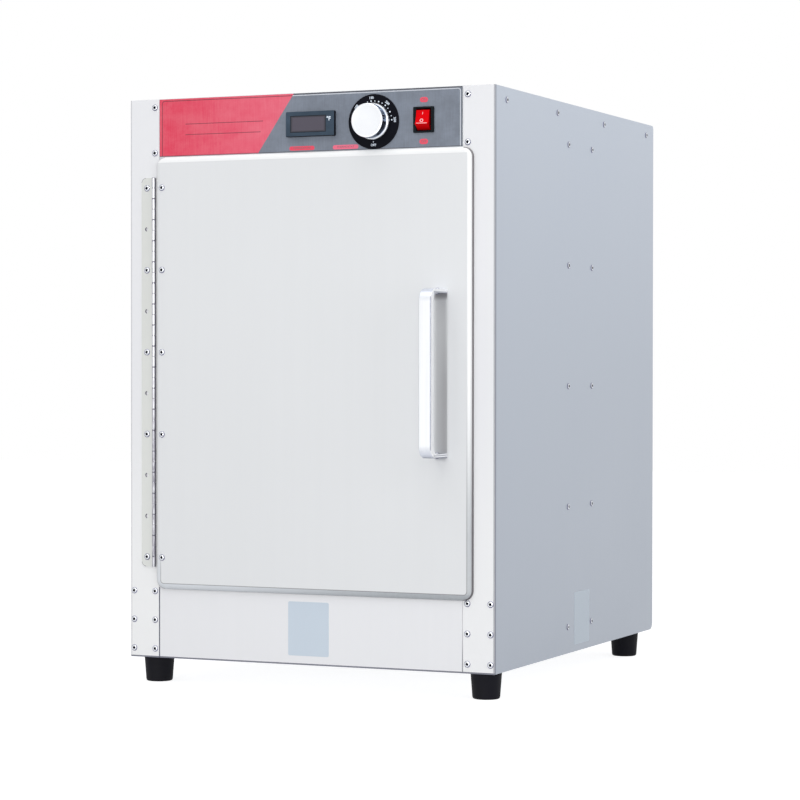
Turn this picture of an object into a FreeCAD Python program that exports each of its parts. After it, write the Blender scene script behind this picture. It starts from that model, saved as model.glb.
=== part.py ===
import FreeCAD, Part
import math
import os

from FreeCAD import Placement, Rotation, Vector

# A heated cabinet for plates and food, with a side-hung door, wire shelves and a control panel.
# It stands on the floor plane. X runs to its right, Y to its back and Z up, and the origin is on
# the floor under the middle of the casing. All lengths are in millimetres.

# Casing.
case_width = 483.0
case_depth = 584.0
case_height = 686.0
foot_height = 32.0
front_sheet = 1.2
skin_sheet = 0.9
base_sheet = 1.2
sheet_gap = 0.3
strip_width = 39.9
side_rear_flange = 18.0
low_corner_radius = 10.0
high_corner_radius = 5.0
top_flange_drop = 26.0
rear_flange_drop = 20.0
base_flange_rise = 24.0
flange_space = 1.0

# Front panels.
control_panel_height = 70.6
header_drop = 14.0
header_return = 15.0
lower_panel_height = 101.0
joggle_width = 17.0
joggle_margin = 2.0
joggle_space = 8.0
overlay_thick = 0.4
overlay_margin = 0.5

# Cavity.
cavity_back_room = 47.0
liner_sheet = 0.8
liner_lap = 9.0
wire_room = 14.0
roof_slab_gap = 7.9
side_slab_gap = 41.0

# Side braces.
brace_sheet = 1.2
brace_depth = 20.0
brace_crown_width = 60.0
brace_screw_spacing = 86.5
brace_flange = 20.0
brace_screw_low = 33.0
brace_screw_drop = 51.0
brace_screw_rows = 5

# Screws.
screw_radius = 1.75
screw_head_radius = 3.3
screw_head_height = 1.8
screw_slack = 0.1
screw_tail = 4.0
strip_inner_inset = 6.0
strip_outer_inset = 4.7
strip_row_low = 11.0
strip_row_drop = 19.2
strip_row_lift = 4.8
strip_row_high_drop = 10.0
strip_row_count = 3
top_screw_drop = 14.8
top_screw_front = 37.7
top_screw_rear = 30.5
top_screw_count = 4
back_screw_inset = 10.0
back_screw_count = 6
back_screw_margin = 28.0

# Door.
door_left_lap = 2.4
door_right_lap = 13.9
door_low_lap = 15.8
door_top_gap = 0.8
door_proud = 5.0
door_corner = 12.0
door_bevel = 3.2
door_skin_sheet = 1.0
door_pan_sheet = 0.8
door_seat_gap = 0.5
plug_clearance = 4.0
plug_depth = 22.0
gasket_width = 11.0
gasket_lip = 0.1
gasket_edge = 0.6
gasket_gap = 2.4

# Piano hinge.
knuckle_radius = 2.25
knuckle_lift = 0.3
knuckle_gap = 0.4
knuckle_count = 37
hinge_low_gap = 26.7
hinge_high_gap = 24.5
hinge_axis_gap = 4.0
hinge_pin_radius = 1.1
hinge_running_gap = 0.05
leaf_thick = 1.1
leaf_width = 17.8
leaf_corner = 6.2
leaf_running_gap = 0.1
leaf_screw_offset = 10.2
door_screw_offset = 12.6
leaf_hole_count = 10
leaf_hole_low = 11.9
leaf_hole_high = 12.8
leaf_screw_shares = (0, 0.33, 0.56, 0.78, 1)
door_tail = 0.3

# Handle.
handle_inset = 39.2
handle_width = 15.2
handle_rise = 167.1
handle_height = 196.6
handle_reach = 49.5
handle_grip = 9.5
handle_leg = 5.0
handle_outer_corner = 10.0
handle_inner_corner = 5.0
handle_edge = 1.0
handle_screw_radius = 1.5
handle_screw_depth = 14.0
handle_screw_head_radius = 3.4
handle_screw_head = 1.4

# Magnetic catches.
catch_width = 10.0
catch_height = 42.0
catch_thick = 1.2
plate_thick = 0.8
catch_inset = 1.3
catch_gap = 2.6
catch_rise = 135.0
catch_drop = 94.0

# Control panel fittings.
control_drop = 2.6
thermometer_spacing = 81.6
bezel_width = 63.8
bezel_height = 30.0
bezel_proud = 5.7
bezel_edge = 1.2
bezel_case_margin = 2.4
bezel_case_depth = 24.0
window_shift = 2.4
window_width = 45.6
window_height = 18.4
window_depth = 1.6
window_sink = 0.3
dial_spacing = 64.3
dial_margin = 0.2
dial_thick = 2.0
dial_edge = 0.8
knob_radius = 22.0
knob_face_inset = 1.4
knob_height = 18.2
knob_gap = 1.4
knob_edge = 1.6
knob_skirt = 2.6
knob_waist_inset = 2.6
knob_wall = 2.4
knob_socket_depth = 12.0
knob_hub_radius = 6.0
shaft_radius = 3.0
shaft_running_gap = 0.05
shaft_tail = 14.0
shaft_seat = 8.0
bush_radius = 5.0
bush_proud = 1.2
thermostat_width = 48.0
thermostat_height = 40.0
thermostat_depth = 34.0
thermostat_edge = 2.0
tab_width = 6.3
tab_thick = 0.8
tab_length = 9.0
switch_inset = 49.5
switch_side_rim = 1.55
switch_end_rim = 1.6
switch_side_wall = 2.1
switch_end_wall = 0.45
switch_proud = 1.8
switch_case_depth = 27.0
rocker_width = 18.4
rocker_side_gap = 0.35
rocker_end_gap = 0.25
rocker_pit_depth = 14.0
rocker_pivot_depth = 7.9
rocker_top_length = 17.2
rocker_top_height = 12.0
rocker_base_length = 26.0
rocker_base_height = 2.0
rocker_foot_length = 12.0
rocker_foot_depth = 3.0
rocker_angle = 15.0
rocker_pin_radius = 1.5
rocker_pin_length = 1.6

# Shelf racks and shelves.
rack_sheet = 1.0
upright_width = 20.0
upright_inset = 60.0
upright_end_gap = 6.0
rail_ledge = 15.0
rail_guard = 12.0
rail_front_gap = 24.0
rail_rear_gap = 18.0
rail_stop = 1.2
last_rail_drop = 47.0
rail_count = 7
shelf_side_gap = 1.5
shelf_lift = 0.3
shelf_rear_gap = 0.4
shelf_front_room = 25.4
shelf_frame_radius = 3.0
shelf_wire_radius = 1.5
shelf_weld = 0.5
shelf_corner = 14.0
shelf_wire_count = 16
shelf_cross_bars = 2
shelf_level_shares = (0.17, 0.5, 0.83)

# Water tray.
tray_sheet = 0.8
tray_depth = 34.0
tray_rim = 14.0
tray_corner = 16.0
tray_side_gap = 3.0
tray_clearance = 6.0

# Heating element.
element_radius = 4.0
element_lift = 4.0
element_wire_gap = 6.8
element_front_gap = 70.0
element_inner_gap = 60.0
element_end_gap = 2.1
element_hole_slack = 0.4
element_flange_radius = 9.0
element_flange_thick = 2.0
terminal_radius = 1.6
terminal_length = 5.0
bracket_width = 8.0
bracket_margin = 10.0
bracket_front = 90.0
bracket_rear_gap = 185.0

# Sensing bulb and probe in the cavity.
bulb_radius = 3.2
bulb_length = 90.0
bulb_wall_gap = 2.6
bulb_below_roof = 34.0
bulb_shift = 18.9
probe_radius = 2.4
probe_length = 36.0
probe_shift = 16.9
capillary_radius = 0.9
capillary_bend = 10.0
capillary_hole_slack = 0.5
clip_width = 8.0
clip_thick = 0.8
clip_ear = 5.0

# Mains inlet on the back.
inlet_height = 62.0
inlet_width = 50.0
inlet_flange_height = 26.0
inlet_flange_thick = 2.4
inlet_body_width = 32.0
inlet_body_height = 24.0
inlet_floor = 2.0
socket_width = 25.0
socket_height = 17.0
socket_depth = 12.4
socket_corner = 3.5
pin_width = 4.0
pin_thick = 2.0
pin_length = 6.0
pin_spacing = 7.0
pin_rise = 2.0
inlet_screw_spacing = 40.0
inlet_corner = 3.0

# Wiring.
wire_radius = 1.2
wire_bend = 12.0
wire_spacing = 4.0
wire_cross_low = 60.0
wire_cross_high = 90.0

# Feet.
foot_top_radius = 19.0
foot_base_radius = 16.3
foot_inset_x = 22.6
foot_inset_front = 31.4
foot_inset_rear = 52.0
foot_edge = 2.0
foot_well_radius = 9.0
foot_well_depth = 18.0
bolt_radius = 4.0
bolt_head_radius = 6.5
bolt_head_height = 5.0
nut_radius = 7.5
nut_height = 6.5
bolt_tip = 2.0
washer_radius = 17.0
washer_thick = 1.5
pocket_space = 2.0

# Cutting tools run past what they cut by this much.
overrun = 5.0

# Planes worked out from the driving dimensions.
case_right = case_width / 2
front = -case_depth / 2
back = case_depth / 2
case_floor = foot_height
case_roof = foot_height + case_height
strip_edge = case_right - strip_width
strip_back = front + front_sheet
behind_front = strip_back + front_sheet
skin_inside = case_right - skin_sheet
panel_line = case_roof - control_panel_height
header_line = panel_line - header_drop
lower_line = case_floor + lower_panel_height
flange_edge = strip_edge + joggle_width + joggle_space
gasket_reach = gasket_edge + gasket_width
cavity_side = strip_edge - catch_inset - catch_width - catch_gap - gasket_reach
cavity_floor = lower_line + gasket_gap + gasket_reach
cavity_roof = header_line - gasket_gap - gasket_reach
cavity_back = back - cavity_back_room
liner_side = cavity_side + liner_sheet
liner_back = cavity_back + liner_sheet
liner_under = cavity_floor - liner_sheet
liner_over = cavity_roof + liner_sheet
slab_side = skin_inside - brace_depth
slab_floor = case_floor + base_sheet
slab_rear = back - wire_room
door_face = front - door_proud
door_left = -strip_edge - door_left_lap
door_right = strip_edge + door_right_lap
door_bottom = lower_line - door_low_lap
door_top = panel_line - door_top_gap
leaf_face = front - leaf_thick
rim_back = front - door_seat_gap
plug_inner = front + plug_depth
hinge_x = door_left - hinge_axis_gap
hinge_y = front - knuckle_radius - knuckle_lift
hinge_bottom = door_bottom + hinge_low_gap
hinge_top = door_top - hinge_high_gap
handle_x = door_right - handle_inset
handle_bottom = door_bottom + handle_rise
overlay_face = front - overlay_thick

# The control panel's fittings and what lines up with them.
control_z = panel_line + control_panel_height / 2 - control_drop
switch_x = strip_edge - switch_inset
dial_x = switch_x - dial_spacing
thermometer_x = dial_x - thermometer_spacing
window_x = thermometer_x - window_shift
bulb_x = dial_x + bulb_shift
probe_x = thermometer_x + probe_shift
inlet_x = switch_x
roof_slab_top = control_z - thermostat_height / 2 - roof_slab_gap
dial_radius = control_panel_height / 2 - control_drop - dial_margin
knob_face_radius = knob_radius - knob_face_inset
knob_waist_radius = knob_radius - knob_waist_inset
pit_width = rocker_width + 2 * rocker_side_gap
pit_height = rocker_base_length + 2 * rocker_end_gap
switch_case_width = pit_width + 2 * switch_side_wall
switch_case_height = pit_height + 2 * switch_end_wall
switch_width = switch_case_width + 2 * switch_side_rim
switch_height = switch_case_height + 2 * switch_end_rim

# The heating element's run, and the lowest rails that hold the tray over it.
element_reach = inlet_x - element_wire_gap
element_bend = element_reach / 3
element_z = cavity_floor + element_lift + element_radius
element_end = back - skin_sheet - element_end_gap - terminal_length
tray_rail_z = element_z + element_radius + tray_clearance + tray_depth

out_front = Vector(0, -1, 0)
out_back = Vector(0, 1, 0)
out_right = Vector(1, 0, 0)
out_up = Vector(0, 0, 1)
origin = Vector(0, 0, 0)


# Shared shapes.

def block(x0, x1, y0, y1, z0, z1):
    """A box between two corners."""
    return Part.makeBox(x1 - x0, y1 - y0, z1 - z0, Vector(x0, y0, z0))


def centred(x, z, width, height, y0, y1):
    """A box centred on x and z, from y0 to y1."""
    return block(x - width / 2, x + width / 2, y0, y1, z - height / 2, z + height / 2)


def rod(start, end, radius):
    """A round bar from one point to another."""
    run = end.sub(start)
    return Part.makeCylinder(radius, run.Length, start, run)


def edges_along(shape, direction):
    """The straight edges of a shape that run along a direction."""
    found = []
    for edge in shape.Edges:
        if edge.Curve.TypeId == "Part::GeomLine":
            if abs(edge.Curve.Direction.dot(direction)) > 1 - 1e-6:
                found.append(edge)
    return found


def rounded(shape, direction, radius):
    """The shape with its edges along one direction rounded."""
    return shape.makeFillet(radius, edges_along(shape, direction))


def flipped(shape):
    """The same piece on the other side of the cabinet."""
    return shape.mirror(origin, out_right)


def joined(shapes):
    """Several touching shapes as one solid."""
    body = shapes[0].fuse(shapes[1:])
    return body.removeSplitter()


def group(shapes):
    """Several separate solids kept together."""
    return Part.makeCompound(shapes)


def spread(first, last, count):
    """Evenly spaced values from first to last."""
    step = (last - first) / (count - 1)
    return [first + step * index for index in range(count)]


def picked(rows, shares):
    """The rows that lie nearest to the given shares of the way from the first to the last."""
    return [rows[round(share * (len(rows) - 1))] for share in shares]


def keep(name, shape):
    """Write one piece to its own file."""
    shape.exportStep("parts/" + name + ".step")


def placed(shape, seat, outward):
    """A shape made about +Z, set on a seat with its top pointing outward."""
    copy = shape.copy()
    copy.Placement = Placement(seat, Rotation(out_up, outward))
    return copy


def domed_screw(grip, radius=screw_radius, head=screw_head_radius, rise=screw_head_height):
    """A screw with a domed head on z = 0 and its shank below it."""
    ball = (head * head + rise * rise) / (2 * rise)
    half_angle = math.asin(head / ball) / 2
    middle = Vector(ball * math.sin(half_angle), 0, rise - ball * (1 - math.cos(half_angle)))
    tip = Vector(0, 0, -grip)
    points = [tip, Vector(radius, 0, -grip), Vector(radius, 0, 0), Vector(head, 0, 0)]
    crown = Vector(0, 0, rise)
    edges = [Part.LineSegment(a, b).toShape() for a, b in zip(points, points[1:])]
    edges.append(Part.Arc(points[-1], middle, crown).toShape())
    edges.append(Part.LineSegment(crown, tip).toShape())
    return Part.Face(Part.Wire(edges)).revolve(origin, out_up, 360)


def screws(seats, outward, grip):
    """One screw on each seat."""
    pattern = domed_screw(grip)
    return [placed(pattern, seat, outward) for seat in seats]


def holes(seats, outward, reach, radius=screw_radius + screw_slack):
    """The cutting tools for holes at each seat, running inward by reach."""
    inward = outward * -1
    tools = []
    for seat in seats:
        start = seat + outward * overrun
        tools.append(rod(start, seat + inward * (reach + overrun), radius))
    return group(tools)


# Screw places.

low_rows = spread(case_floor + strip_row_low, lower_line - strip_row_drop, strip_row_count)
high_rows = [panel_line + strip_row_lift, case_roof - strip_row_high_drop]
inner_column = strip_edge + strip_inner_inset
outer_column = case_right - strip_outer_inset
top_rows = spread(front + top_screw_front, back - top_screw_rear, top_screw_count)
top_screw_z = case_roof - top_screw_drop
brace_rows = spread(case_floor + brace_screw_low, case_roof - brace_screw_drop, brace_screw_rows)
brace_columns = [-brace_screw_spacing / 2, brace_screw_spacing / 2]
back_rows = spread(case_floor + back_screw_margin, case_roof - back_screw_margin, back_screw_count)
leaf_rows = spread(hinge_bottom + leaf_hole_low, hinge_top - leaf_hole_high, leaf_hole_count)
leaf_screw_rows = picked(leaf_rows, leaf_screw_shares)
frame_screw_x = hinge_x - leaf_screw_offset
door_screw_x = hinge_x + door_screw_offset


def strip_seats(side):
    """Screw seats on one front strip; side is -1 for the left one and 1 for the right one."""
    inner = [Vector(side * inner_column, front, z) for z in low_rows + high_rows]
    outer = [Vector(side * outer_column, front, z) for z in low_rows]
    return inner + outer


def side_seats(side):
    """Screw seats on one side panel."""
    x = side * case_right
    top = [Vector(x, y, top_screw_z) for y in top_rows]
    brace = [Vector(x, y, z) for y in brace_columns for z in brace_rows]
    return top + brace


def back_seats(side):
    """Screw seats along one upright edge of the back panel."""
    return [Vector(side * (case_right - back_screw_inset), back, z) for z in back_rows]


frame_leaf_seats = [Vector(frame_screw_x, leaf_face, z) for z in leaf_screw_rows]
frame_leaf_holes = [Vector(frame_screw_x, leaf_face, z) for z in leaf_rows]
door_screw_seats = [Vector(door_screw_x, door_face, z) for z in leaf_screw_rows]
through_front = front_sheet + screw_tail
through_leaf = leaf_thick + front_sheet + screw_tail


# Casing.

def side_panel():
    """The right side sheet with its front and rear flanges."""
    sheet = block(skin_inside, case_right, strip_back, back, case_floor, case_roof)
    corners = []
    for edge in edges_along(sheet, out_right):
        middle = edge.CenterOfMass
        if middle.y > 0 and middle.z < case_floor + case_height / 2:
            corners.append((edge, low_corner_radius))
        if middle.y > 0 and middle.z > case_floor + case_height / 2:
            corners.append((edge, high_corner_radius))
    for edge, radius in corners:
        where = edge.CenterOfMass
        near = [e for e in sheet.Edges if e.CenterOfMass.sub(where).Length < skin_sheet / 2]
        sheet = sheet.makeFillet(radius, near)
    flange_top = case_roof - skin_sheet
    front_flange = block(flange_edge, case_right, strip_back, strip_back + skin_sheet, case_floor, flange_top)
    rear_flange = block(case_right - side_rear_flange, case_right, back - 2 * skin_sheet,
                        back - skin_sheet, case_floor + low_corner_radius,
                        case_roof - high_corner_radius - skin_sheet)
    panel = joined([sheet, front_flange, rear_flange])
    panel = panel.cut(holes(side_seats(1), out_right, skin_sheet))
    panel = panel.cut(holes(strip_seats(1), out_front, through_front))
    return panel.cut(holes(back_seats(1), out_back, skin_sheet + screw_tail))


def top_panel():
    """The top sheet with flanges turned down inside the side panels."""
    rear = back - high_corner_radius
    under = case_roof - skin_sheet
    sheet = block(-skin_inside, skin_inside, strip_back, rear, under, case_roof)
    flange_inside = skin_inside - skin_sheet
    y0 = strip_back + skin_sheet + flange_space
    y1 = rear - skin_sheet
    side = block(flange_inside, skin_inside, y0, y1, under - top_flange_drop, case_roof)
    rear_reach = case_right - side_rear_flange - flange_space
    rear_flange = block(-rear_reach, rear_reach, y1, rear, under - rear_flange_drop, case_roof)
    ears = block(-skin_inside, skin_inside, y1, rear, case_roof - high_corner_radius, case_roof)
    panel = joined([sheet, side, flipped(side), rear_flange, ears])
    for hand in (-1, 1):
        outward = out_right * hand
        panel = panel.cut(holes(side_seats(hand)[:top_screw_count], outward, screw_tail))
    return panel


def back_panel():
    """The rear sheet between the side panels, with flanges at its top and bottom."""
    z0 = case_floor + low_corner_radius
    z1 = case_roof - high_corner_radius
    inner = back - skin_sheet
    sheet = block(-skin_inside, skin_inside, inner, back, z0, z1)
    reach = case_right - side_rear_flange - flange_space
    low = block(-reach, reach, back - low_corner_radius, back, z0, z0 + skin_sheet)
    ears = block(-skin_inside, skin_inside, back - low_corner_radius, back - 2 * skin_sheet, z0, z0 + skin_sheet)
    high = block(-skin_inside, skin_inside, back - high_corner_radius, back, z1 - skin_sheet, z1)
    panel = joined([sheet, low, ears, high])
    for hand in (-1, 1):
        panel = panel.cut(holes(back_seats(hand), out_back, skin_sheet))
    panel = panel.cut(inlet_cutter())
    return panel.cut(holes(inlet_seats(), out_back, screw_tail))


def base_pan():
    """The bottom sheet with its edges turned up."""
    y0 = behind_front
    y1 = back - low_corner_radius
    inside = skin_inside - base_sheet
    sheet = block(-skin_inside, skin_inside, y0, y1, case_floor, slab_floor)
    rise = case_floor + base_flange_rise
    side = block(inside, skin_inside, y0 + flange_space, y1, case_floor, rise)
    rear = block(-inside, inside, y1 - base_sheet, y1, case_floor, rise)
    pan = joined([sheet, side, flipped(side), rear])
    return pan.cut(foot_holes())


def front_strip(side):
    """One upright front strip, left for side -1 and right for side 1."""
    strip = block(strip_edge, case_right, front, strip_back, case_floor, case_roof)
    if side < 0:
        strip = flipped(strip)
        strip = strip.cut(holes(frame_leaf_seats, out_front, through_leaf))
    return strip.cut(holes(strip_seats(side), out_front, through_front))


def joggles(z0, z1):
    """The two side flanges that tuck a front panel behind the strips, with their steps."""
    panel_edge = strip_edge - sheet_gap
    flange = block(panel_edge - front_sheet, strip_edge + joggle_width, strip_back, behind_front, z0, z1)
    return [flange, flipped(flange)]


def control_panel():
    """The sheet behind the printed face, which runs on down behind the door's top edge."""
    edge = strip_edge - sheet_gap
    sheet = block(-edge, edge, front, strip_back, header_line, case_roof)
    under = case_roof - skin_sheet
    lip = block(-edge, edge, front, strip_back + header_return, under - front_sheet, under)
    z0 = header_line + liner_lap + flange_space
    z1 = under - front_sheet
    panel = joined([sheet, lip] + joggles(z0, z1))
    for hand in (-1, 1):
        panel = panel.cut(holes(strip_seats(hand), out_front, through_front))
    return panel.cut(control_cutters())


def lower_panel():
    """The plain front panel under the door."""
    edge = strip_edge - sheet_gap
    sheet = block(-edge, edge, front, strip_back, case_floor, lower_line)
    z1 = lower_line - liner_lap - flange_space
    panel = joined([sheet] + joggles(case_floor + joggle_margin, z1))
    for hand in (-1, 1):
        panel = panel.cut(holes(strip_seats(hand), out_front, through_front))
    return panel


def control_cutters():
    """The cut-outs that the control panel and its printed face share."""
    y0 = front - overrun
    y1 = strip_back + overrun
    case_width_cut = bezel_width - 2 * bezel_case_margin
    case_height_cut = bezel_height - 2 * bezel_case_margin
    thermometer = centred(thermometer_x, control_z, case_width_cut, case_height_cut, y0, y1)
    switch = centred(switch_x, control_z, switch_case_width, switch_case_height, y0, y1)
    bush = rod(Vector(dial_x, y0, control_z), Vector(dial_x, y1, control_z), bush_radius)
    return group([thermometer, switch, bush])


def panel_overlay():
    """The printed film on the control panel."""
    edge = strip_edge - sheet_gap - overlay_margin
    film = block(-edge, edge, overlay_face, front, panel_line, case_roof - overlay_margin)
    return film.cut(control_cutters())


def build_casing():
    """Write the casing's sheets and their screws."""
    right_side = side_panel()
    keep("right_side_panel", right_side)
    left_side = flipped(side_panel())
    keep("left_side_panel", left_side)
    keep("top_panel", top_panel())
    keep("back_panel", back_panel())
    keep("base_pan", base_pan())
    keep("left_front_strip", front_strip(-1))
    keep("right_front_strip", front_strip(1))
    keep("control_panel", control_panel())
    keep("panel_overlay", panel_overlay())
    keep("lower_front_panel", lower_panel())
    strip_screws = screws(strip_seats(-1) + strip_seats(1), out_front, through_front)
    keep("front_screws", group(strip_screws))
    grip = skin_sheet + screw_tail
    keep("right_side_screws", group(screws(side_seats(1), out_right, grip)))
    keep("left_side_screws", group(screws(side_seats(-1), out_right * -1, grip)))
    rear_screws = screws(back_seats(-1) + back_seats(1), out_back, skin_sheet + screw_tail)
    flange_seats = [seat + out_back * inlet_flange_thick for seat in inlet_seats()]
    inlet_screws = screws(flange_seats, out_back, inlet_flange_thick + screw_tail)
    keep("back_screws", group(rear_screws + inlet_screws))


# Cavity, insulation and braces.

def element_ends():
    """The two places where the heating element goes through the cavity's back wall."""
    return [Vector(-element_reach, liner_back, element_z), Vector(element_reach, liner_back, element_z)]


def sensor_holes():
    """The cutting tools for the sensing tubes, down through the slab and the cavity's roof."""
    tools = []
    y = cavity_back - bulb_wall_gap - bulb_radius
    for x in (bulb_x, probe_x):
        start = Vector(x, y, cavity_roof - overrun)
        end = Vector(x, y, roof_slab_top + overrun)
        tools.append(rod(start, end, capillary_radius + capillary_hole_slack))
    return group(tools)


def element_holes(radius):
    """The cutting tools for the element's ends."""
    tools = []
    for end in element_ends():
        start = end - out_back * (liner_sheet + overrun)
        tools.append(rod(start, Vector(end.x, slab_rear + overrun, end.z), radius))
    return group(tools)


def cavity_liner():
    """The inner box, open at the front, with a wide flange behind the strips."""
    shell = block(-liner_side, liner_side, strip_back, liner_back, liner_under, liner_over)
    reach = flange_edge - flange_space
    flange = block(-reach, reach, strip_back, strip_back + liner_sheet,
                   lower_line - liner_lap, header_line + liner_lap)
    room = block(-cavity_side, cavity_side, strip_back - overrun, cavity_back, cavity_floor, cavity_roof)
    liner = joined([shell, flange]).cut(room)
    liner = liner.cut(holes(frame_leaf_seats, out_front, through_leaf))
    liner = liner.cut(element_holes(element_radius + element_hole_slack))
    return liner.cut(sensor_holes())


def side_brace():
    """The right upright channel between the side panel and the insulation."""
    z0 = case_floor + base_flange_rise + flange_space
    z1 = case_roof - skin_sheet - top_flange_drop - flange_space
    half = brace_crown_width / 2
    outer = brace_screw_spacing / 2 + brace_flange / 2
    crown = slab_side + brace_sheet
    face = skin_inside - brace_sheet
    points = [(skin_inside, -outer), (face, -outer), (face, -half - brace_sheet), (slab_side, -half),
              (slab_side, half), (face, half + brace_sheet), (face, outer), (skin_inside, outer),
              (skin_inside, half), (crown, half - brace_sheet), (crown, brace_sheet - half),
              (skin_inside, -half)]
    corners = [Vector(x, y, z0) for x, y in points]
    outline = Part.makePolygon(corners + corners[:1])
    channel = Part.Face(outline).extrude(Vector(0, 0, z1 - z0))
    brace_seats = side_seats(1)[top_screw_count:]
    return channel.cut(holes(brace_seats, out_right, skin_sheet + screw_tail))


def foot_pockets():
    """Room in the insulation for the foot bolts and their nuts."""
    tools = []
    height = base_sheet + nut_height + bolt_tip + pocket_space
    for place in foot_places().values():
        tools.append(Part.makeCylinder(nut_radius + pocket_space, height, place + out_up * foot_height))
    return group(tools)


def side_slab():
    """The right insulation slab."""
    slab = block(liner_side, slab_side, behind_front, slab_rear, slab_floor, case_roof - side_slab_gap)
    slab = slab.cut(foot_pockets())
    slab = slab.cut(holes(strip_seats(1), out_front, through_front))
    return slab.cut(holes([flip_point(seat) for seat in frame_leaf_seats], out_front, through_leaf))


def flip_point(point):
    """The same point on the other side of the cabinet."""
    return Vector(-point.x, point.y, point.z)


def build_cavity():
    """Write the liner, the insulation and the braces."""
    keep("cavity_liner", cavity_liner())
    keep("right_insulation", side_slab())
    keep("left_insulation", flipped(side_slab()))
    floor_slab = block(-liner_side, liner_side, behind_front, liner_back, slab_floor, liner_under)
    keep("floor_insulation", floor_slab)
    roof_slab = block(-liner_side, liner_side, strip_back + header_return + flange_space, liner_back,
                      liner_over, roof_slab_top)
    keep("roof_insulation", roof_slab.cut(sensor_holes()))
    rear_slab = block(-liner_side, liner_side, liner_back, slab_rear, slab_floor, roof_slab_top)
    keep("rear_insulation", rear_slab.cut(element_holes(element_flange_radius + element_hole_slack)))
    keep("right_brace", side_brace())
    keep("left_brace", flipped(side_brace()))


# Shelf racks, shelves and tray.

def rail_heights():
    """The height of each rail's upper face."""
    return spread(tray_rail_z, cavity_roof - last_rail_drop, rail_count)


rail_front = strip_back + plug_depth + rail_front_gap
rail_rear = cavity_back - rail_rear_gap
shelf_front = plug_inner + shelf_front_room
shelf_rear = rail_rear - rail_stop - shelf_rear_gap


def shelf_rack():
    """The right rack: two uprights against the cavity wall and a row of angle rails."""
    face = cavity_side - rack_sheet
    pieces = []
    for y in (rail_front + upright_inset, rail_rear - upright_inset - upright_width):
        pieces.append(block(face, cavity_side, y, y + upright_width,
                            cavity_floor + upright_end_gap, cavity_roof - upright_end_gap))
    guard = face - rack_sheet
    for z in rail_heights():
        pieces.append(block(face - rail_ledge, face, rail_front, rail_rear, z - rack_sheet, z))
        pieces.append(block(guard, face, rail_front, rail_rear, z - rack_sheet, z + rail_guard))
        pieces.append(block(face - rail_ledge, face, rail_rear - rail_stop, rail_rear,
                            z - rack_sheet, z + rail_guard))
    return joined(pieces)


def wire_shelf():
    """A wire shelf whose frame rests on z = 0."""
    guard = cavity_side - 2 * rack_sheet
    half = guard - shelf_side_gap - shelf_frame_radius
    y0 = shelf_front + shelf_frame_radius
    y1 = shelf_rear - shelf_frame_radius
    z = shelf_frame_radius
    inner = half - shelf_corner
    pieces = []
    for y in (y0, y1):
        pieces.append(rod(Vector(-inner, y, z), Vector(inner, y, z), shelf_frame_radius))
    for x in (-half, half):
        pieces.append(rod(Vector(x, y0 + shelf_corner, z), Vector(x, y1 - shelf_corner, z),
                          shelf_frame_radius))
    corners = ((inner, y1 - shelf_corner), (-inner, y1 - shelf_corner),
               (-inner, y0 + shelf_corner), (inner, y0 + shelf_corner))
    for turns, (x, y) in enumerate(corners):
        bend = Part.makeTorus(shelf_corner, shelf_frame_radius, origin, out_up, 0, 360, 90)
        bend.Placement = Placement(Vector(x, y, z), Rotation(out_up, 90 * turns))
        pieces.append(bend)
    bar_z = z
    for y in spread(y0, y1, shelf_cross_bars + 2)[1:-1]:
        pieces.append(rod(Vector(-half, y, bar_z), Vector(half, y, bar_z), shelf_frame_radius))
    wire_z = z + shelf_frame_radius + shelf_wire_radius - shelf_weld
    for x in spread(-inner, inner, shelf_wire_count):
        pieces.append(rod(Vector(x, y0, wire_z), Vector(x, y1, wire_z), shelf_wire_radius))
    return joined(pieces)


def water_tray():
    """The shallow pan that hangs by its rim on the lowest rails."""
    half = cavity_side - rack_sheet - rail_ledge - tray_side_gap
    rim_half = half + tray_rim
    z = rail_heights()[0]
    y0 = shelf_front
    y1 = shelf_rear
    bowl = block(-half, half, y0 + tray_rim, y1 - tray_rim, z - tray_depth, z)
    bowl = rounded(bowl, out_up, tray_corner)
    rim = block(-rim_half, rim_half, y0, y1, z, z + tray_sheet)
    rim = rounded(rim, out_up, tray_corner)
    inner = block(-half + tray_sheet, half - tray_sheet, y0 + tray_rim + tray_sheet,
                  y1 - tray_rim - tray_sheet, z - tray_depth + tray_sheet, z + overrun)
    inner = rounded(inner, out_up, tray_corner - tray_sheet)
    return joined([bowl, rim]).cut(inner)


def build_shelves():
    """Write the racks, the shelves and the tray."""
    keep("right_rack", shelf_rack())
    keep("left_rack", flipped(shelf_rack()))
    shelf = wire_shelf()
    heights = picked(rail_heights(), shelf_level_shares)
    for name, height in zip(("lower_shelf", "middle_shelf", "upper_shelf"), heights):
        copy = shelf.copy()
        copy.translate(Vector(0, 0, height + shelf_lift))
        keep(name, copy)
    keep("water_tray", water_tray())


# Heating element and sensors.

def swept_tube(path_edges, radius):
    """A round tube along a path of lines and arcs."""
    path = Part.Wire(path_edges)
    start = path_edges[0].firstVertex().Point
    along = path_edges[0].tangentAt(path_edges[0].FirstParameter)
    ring = Part.Wire([Part.makeCircle(radius, start, along)])
    return path.makePipeShell([ring], True, False)


def bent_path(points, bend):
    """Straight runs through the points, with a tangent arc at each corner."""
    edges = []
    start = points[0]
    for before, corner, after in zip(points, points[1:], points[2:]):
        back_along = (before - corner).normalize()
        on_along = (after - corner).normalize()
        half = back_along.getAngle(on_along) / 2
        near = corner + back_along * (bend / math.tan(half))
        far = corner + on_along * (bend / math.tan(half))
        inward = (back_along + on_along).normalize()
        middle = corner + inward * (bend / math.sin(half) - bend)
        edges.append(Part.LineSegment(start, near).toShape())
        edges.append(Part.Arc(near, middle, far).toShape())
        start = far
    edges.append(Part.LineSegment(start, points[-1]).toShape())
    return edges


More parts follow.
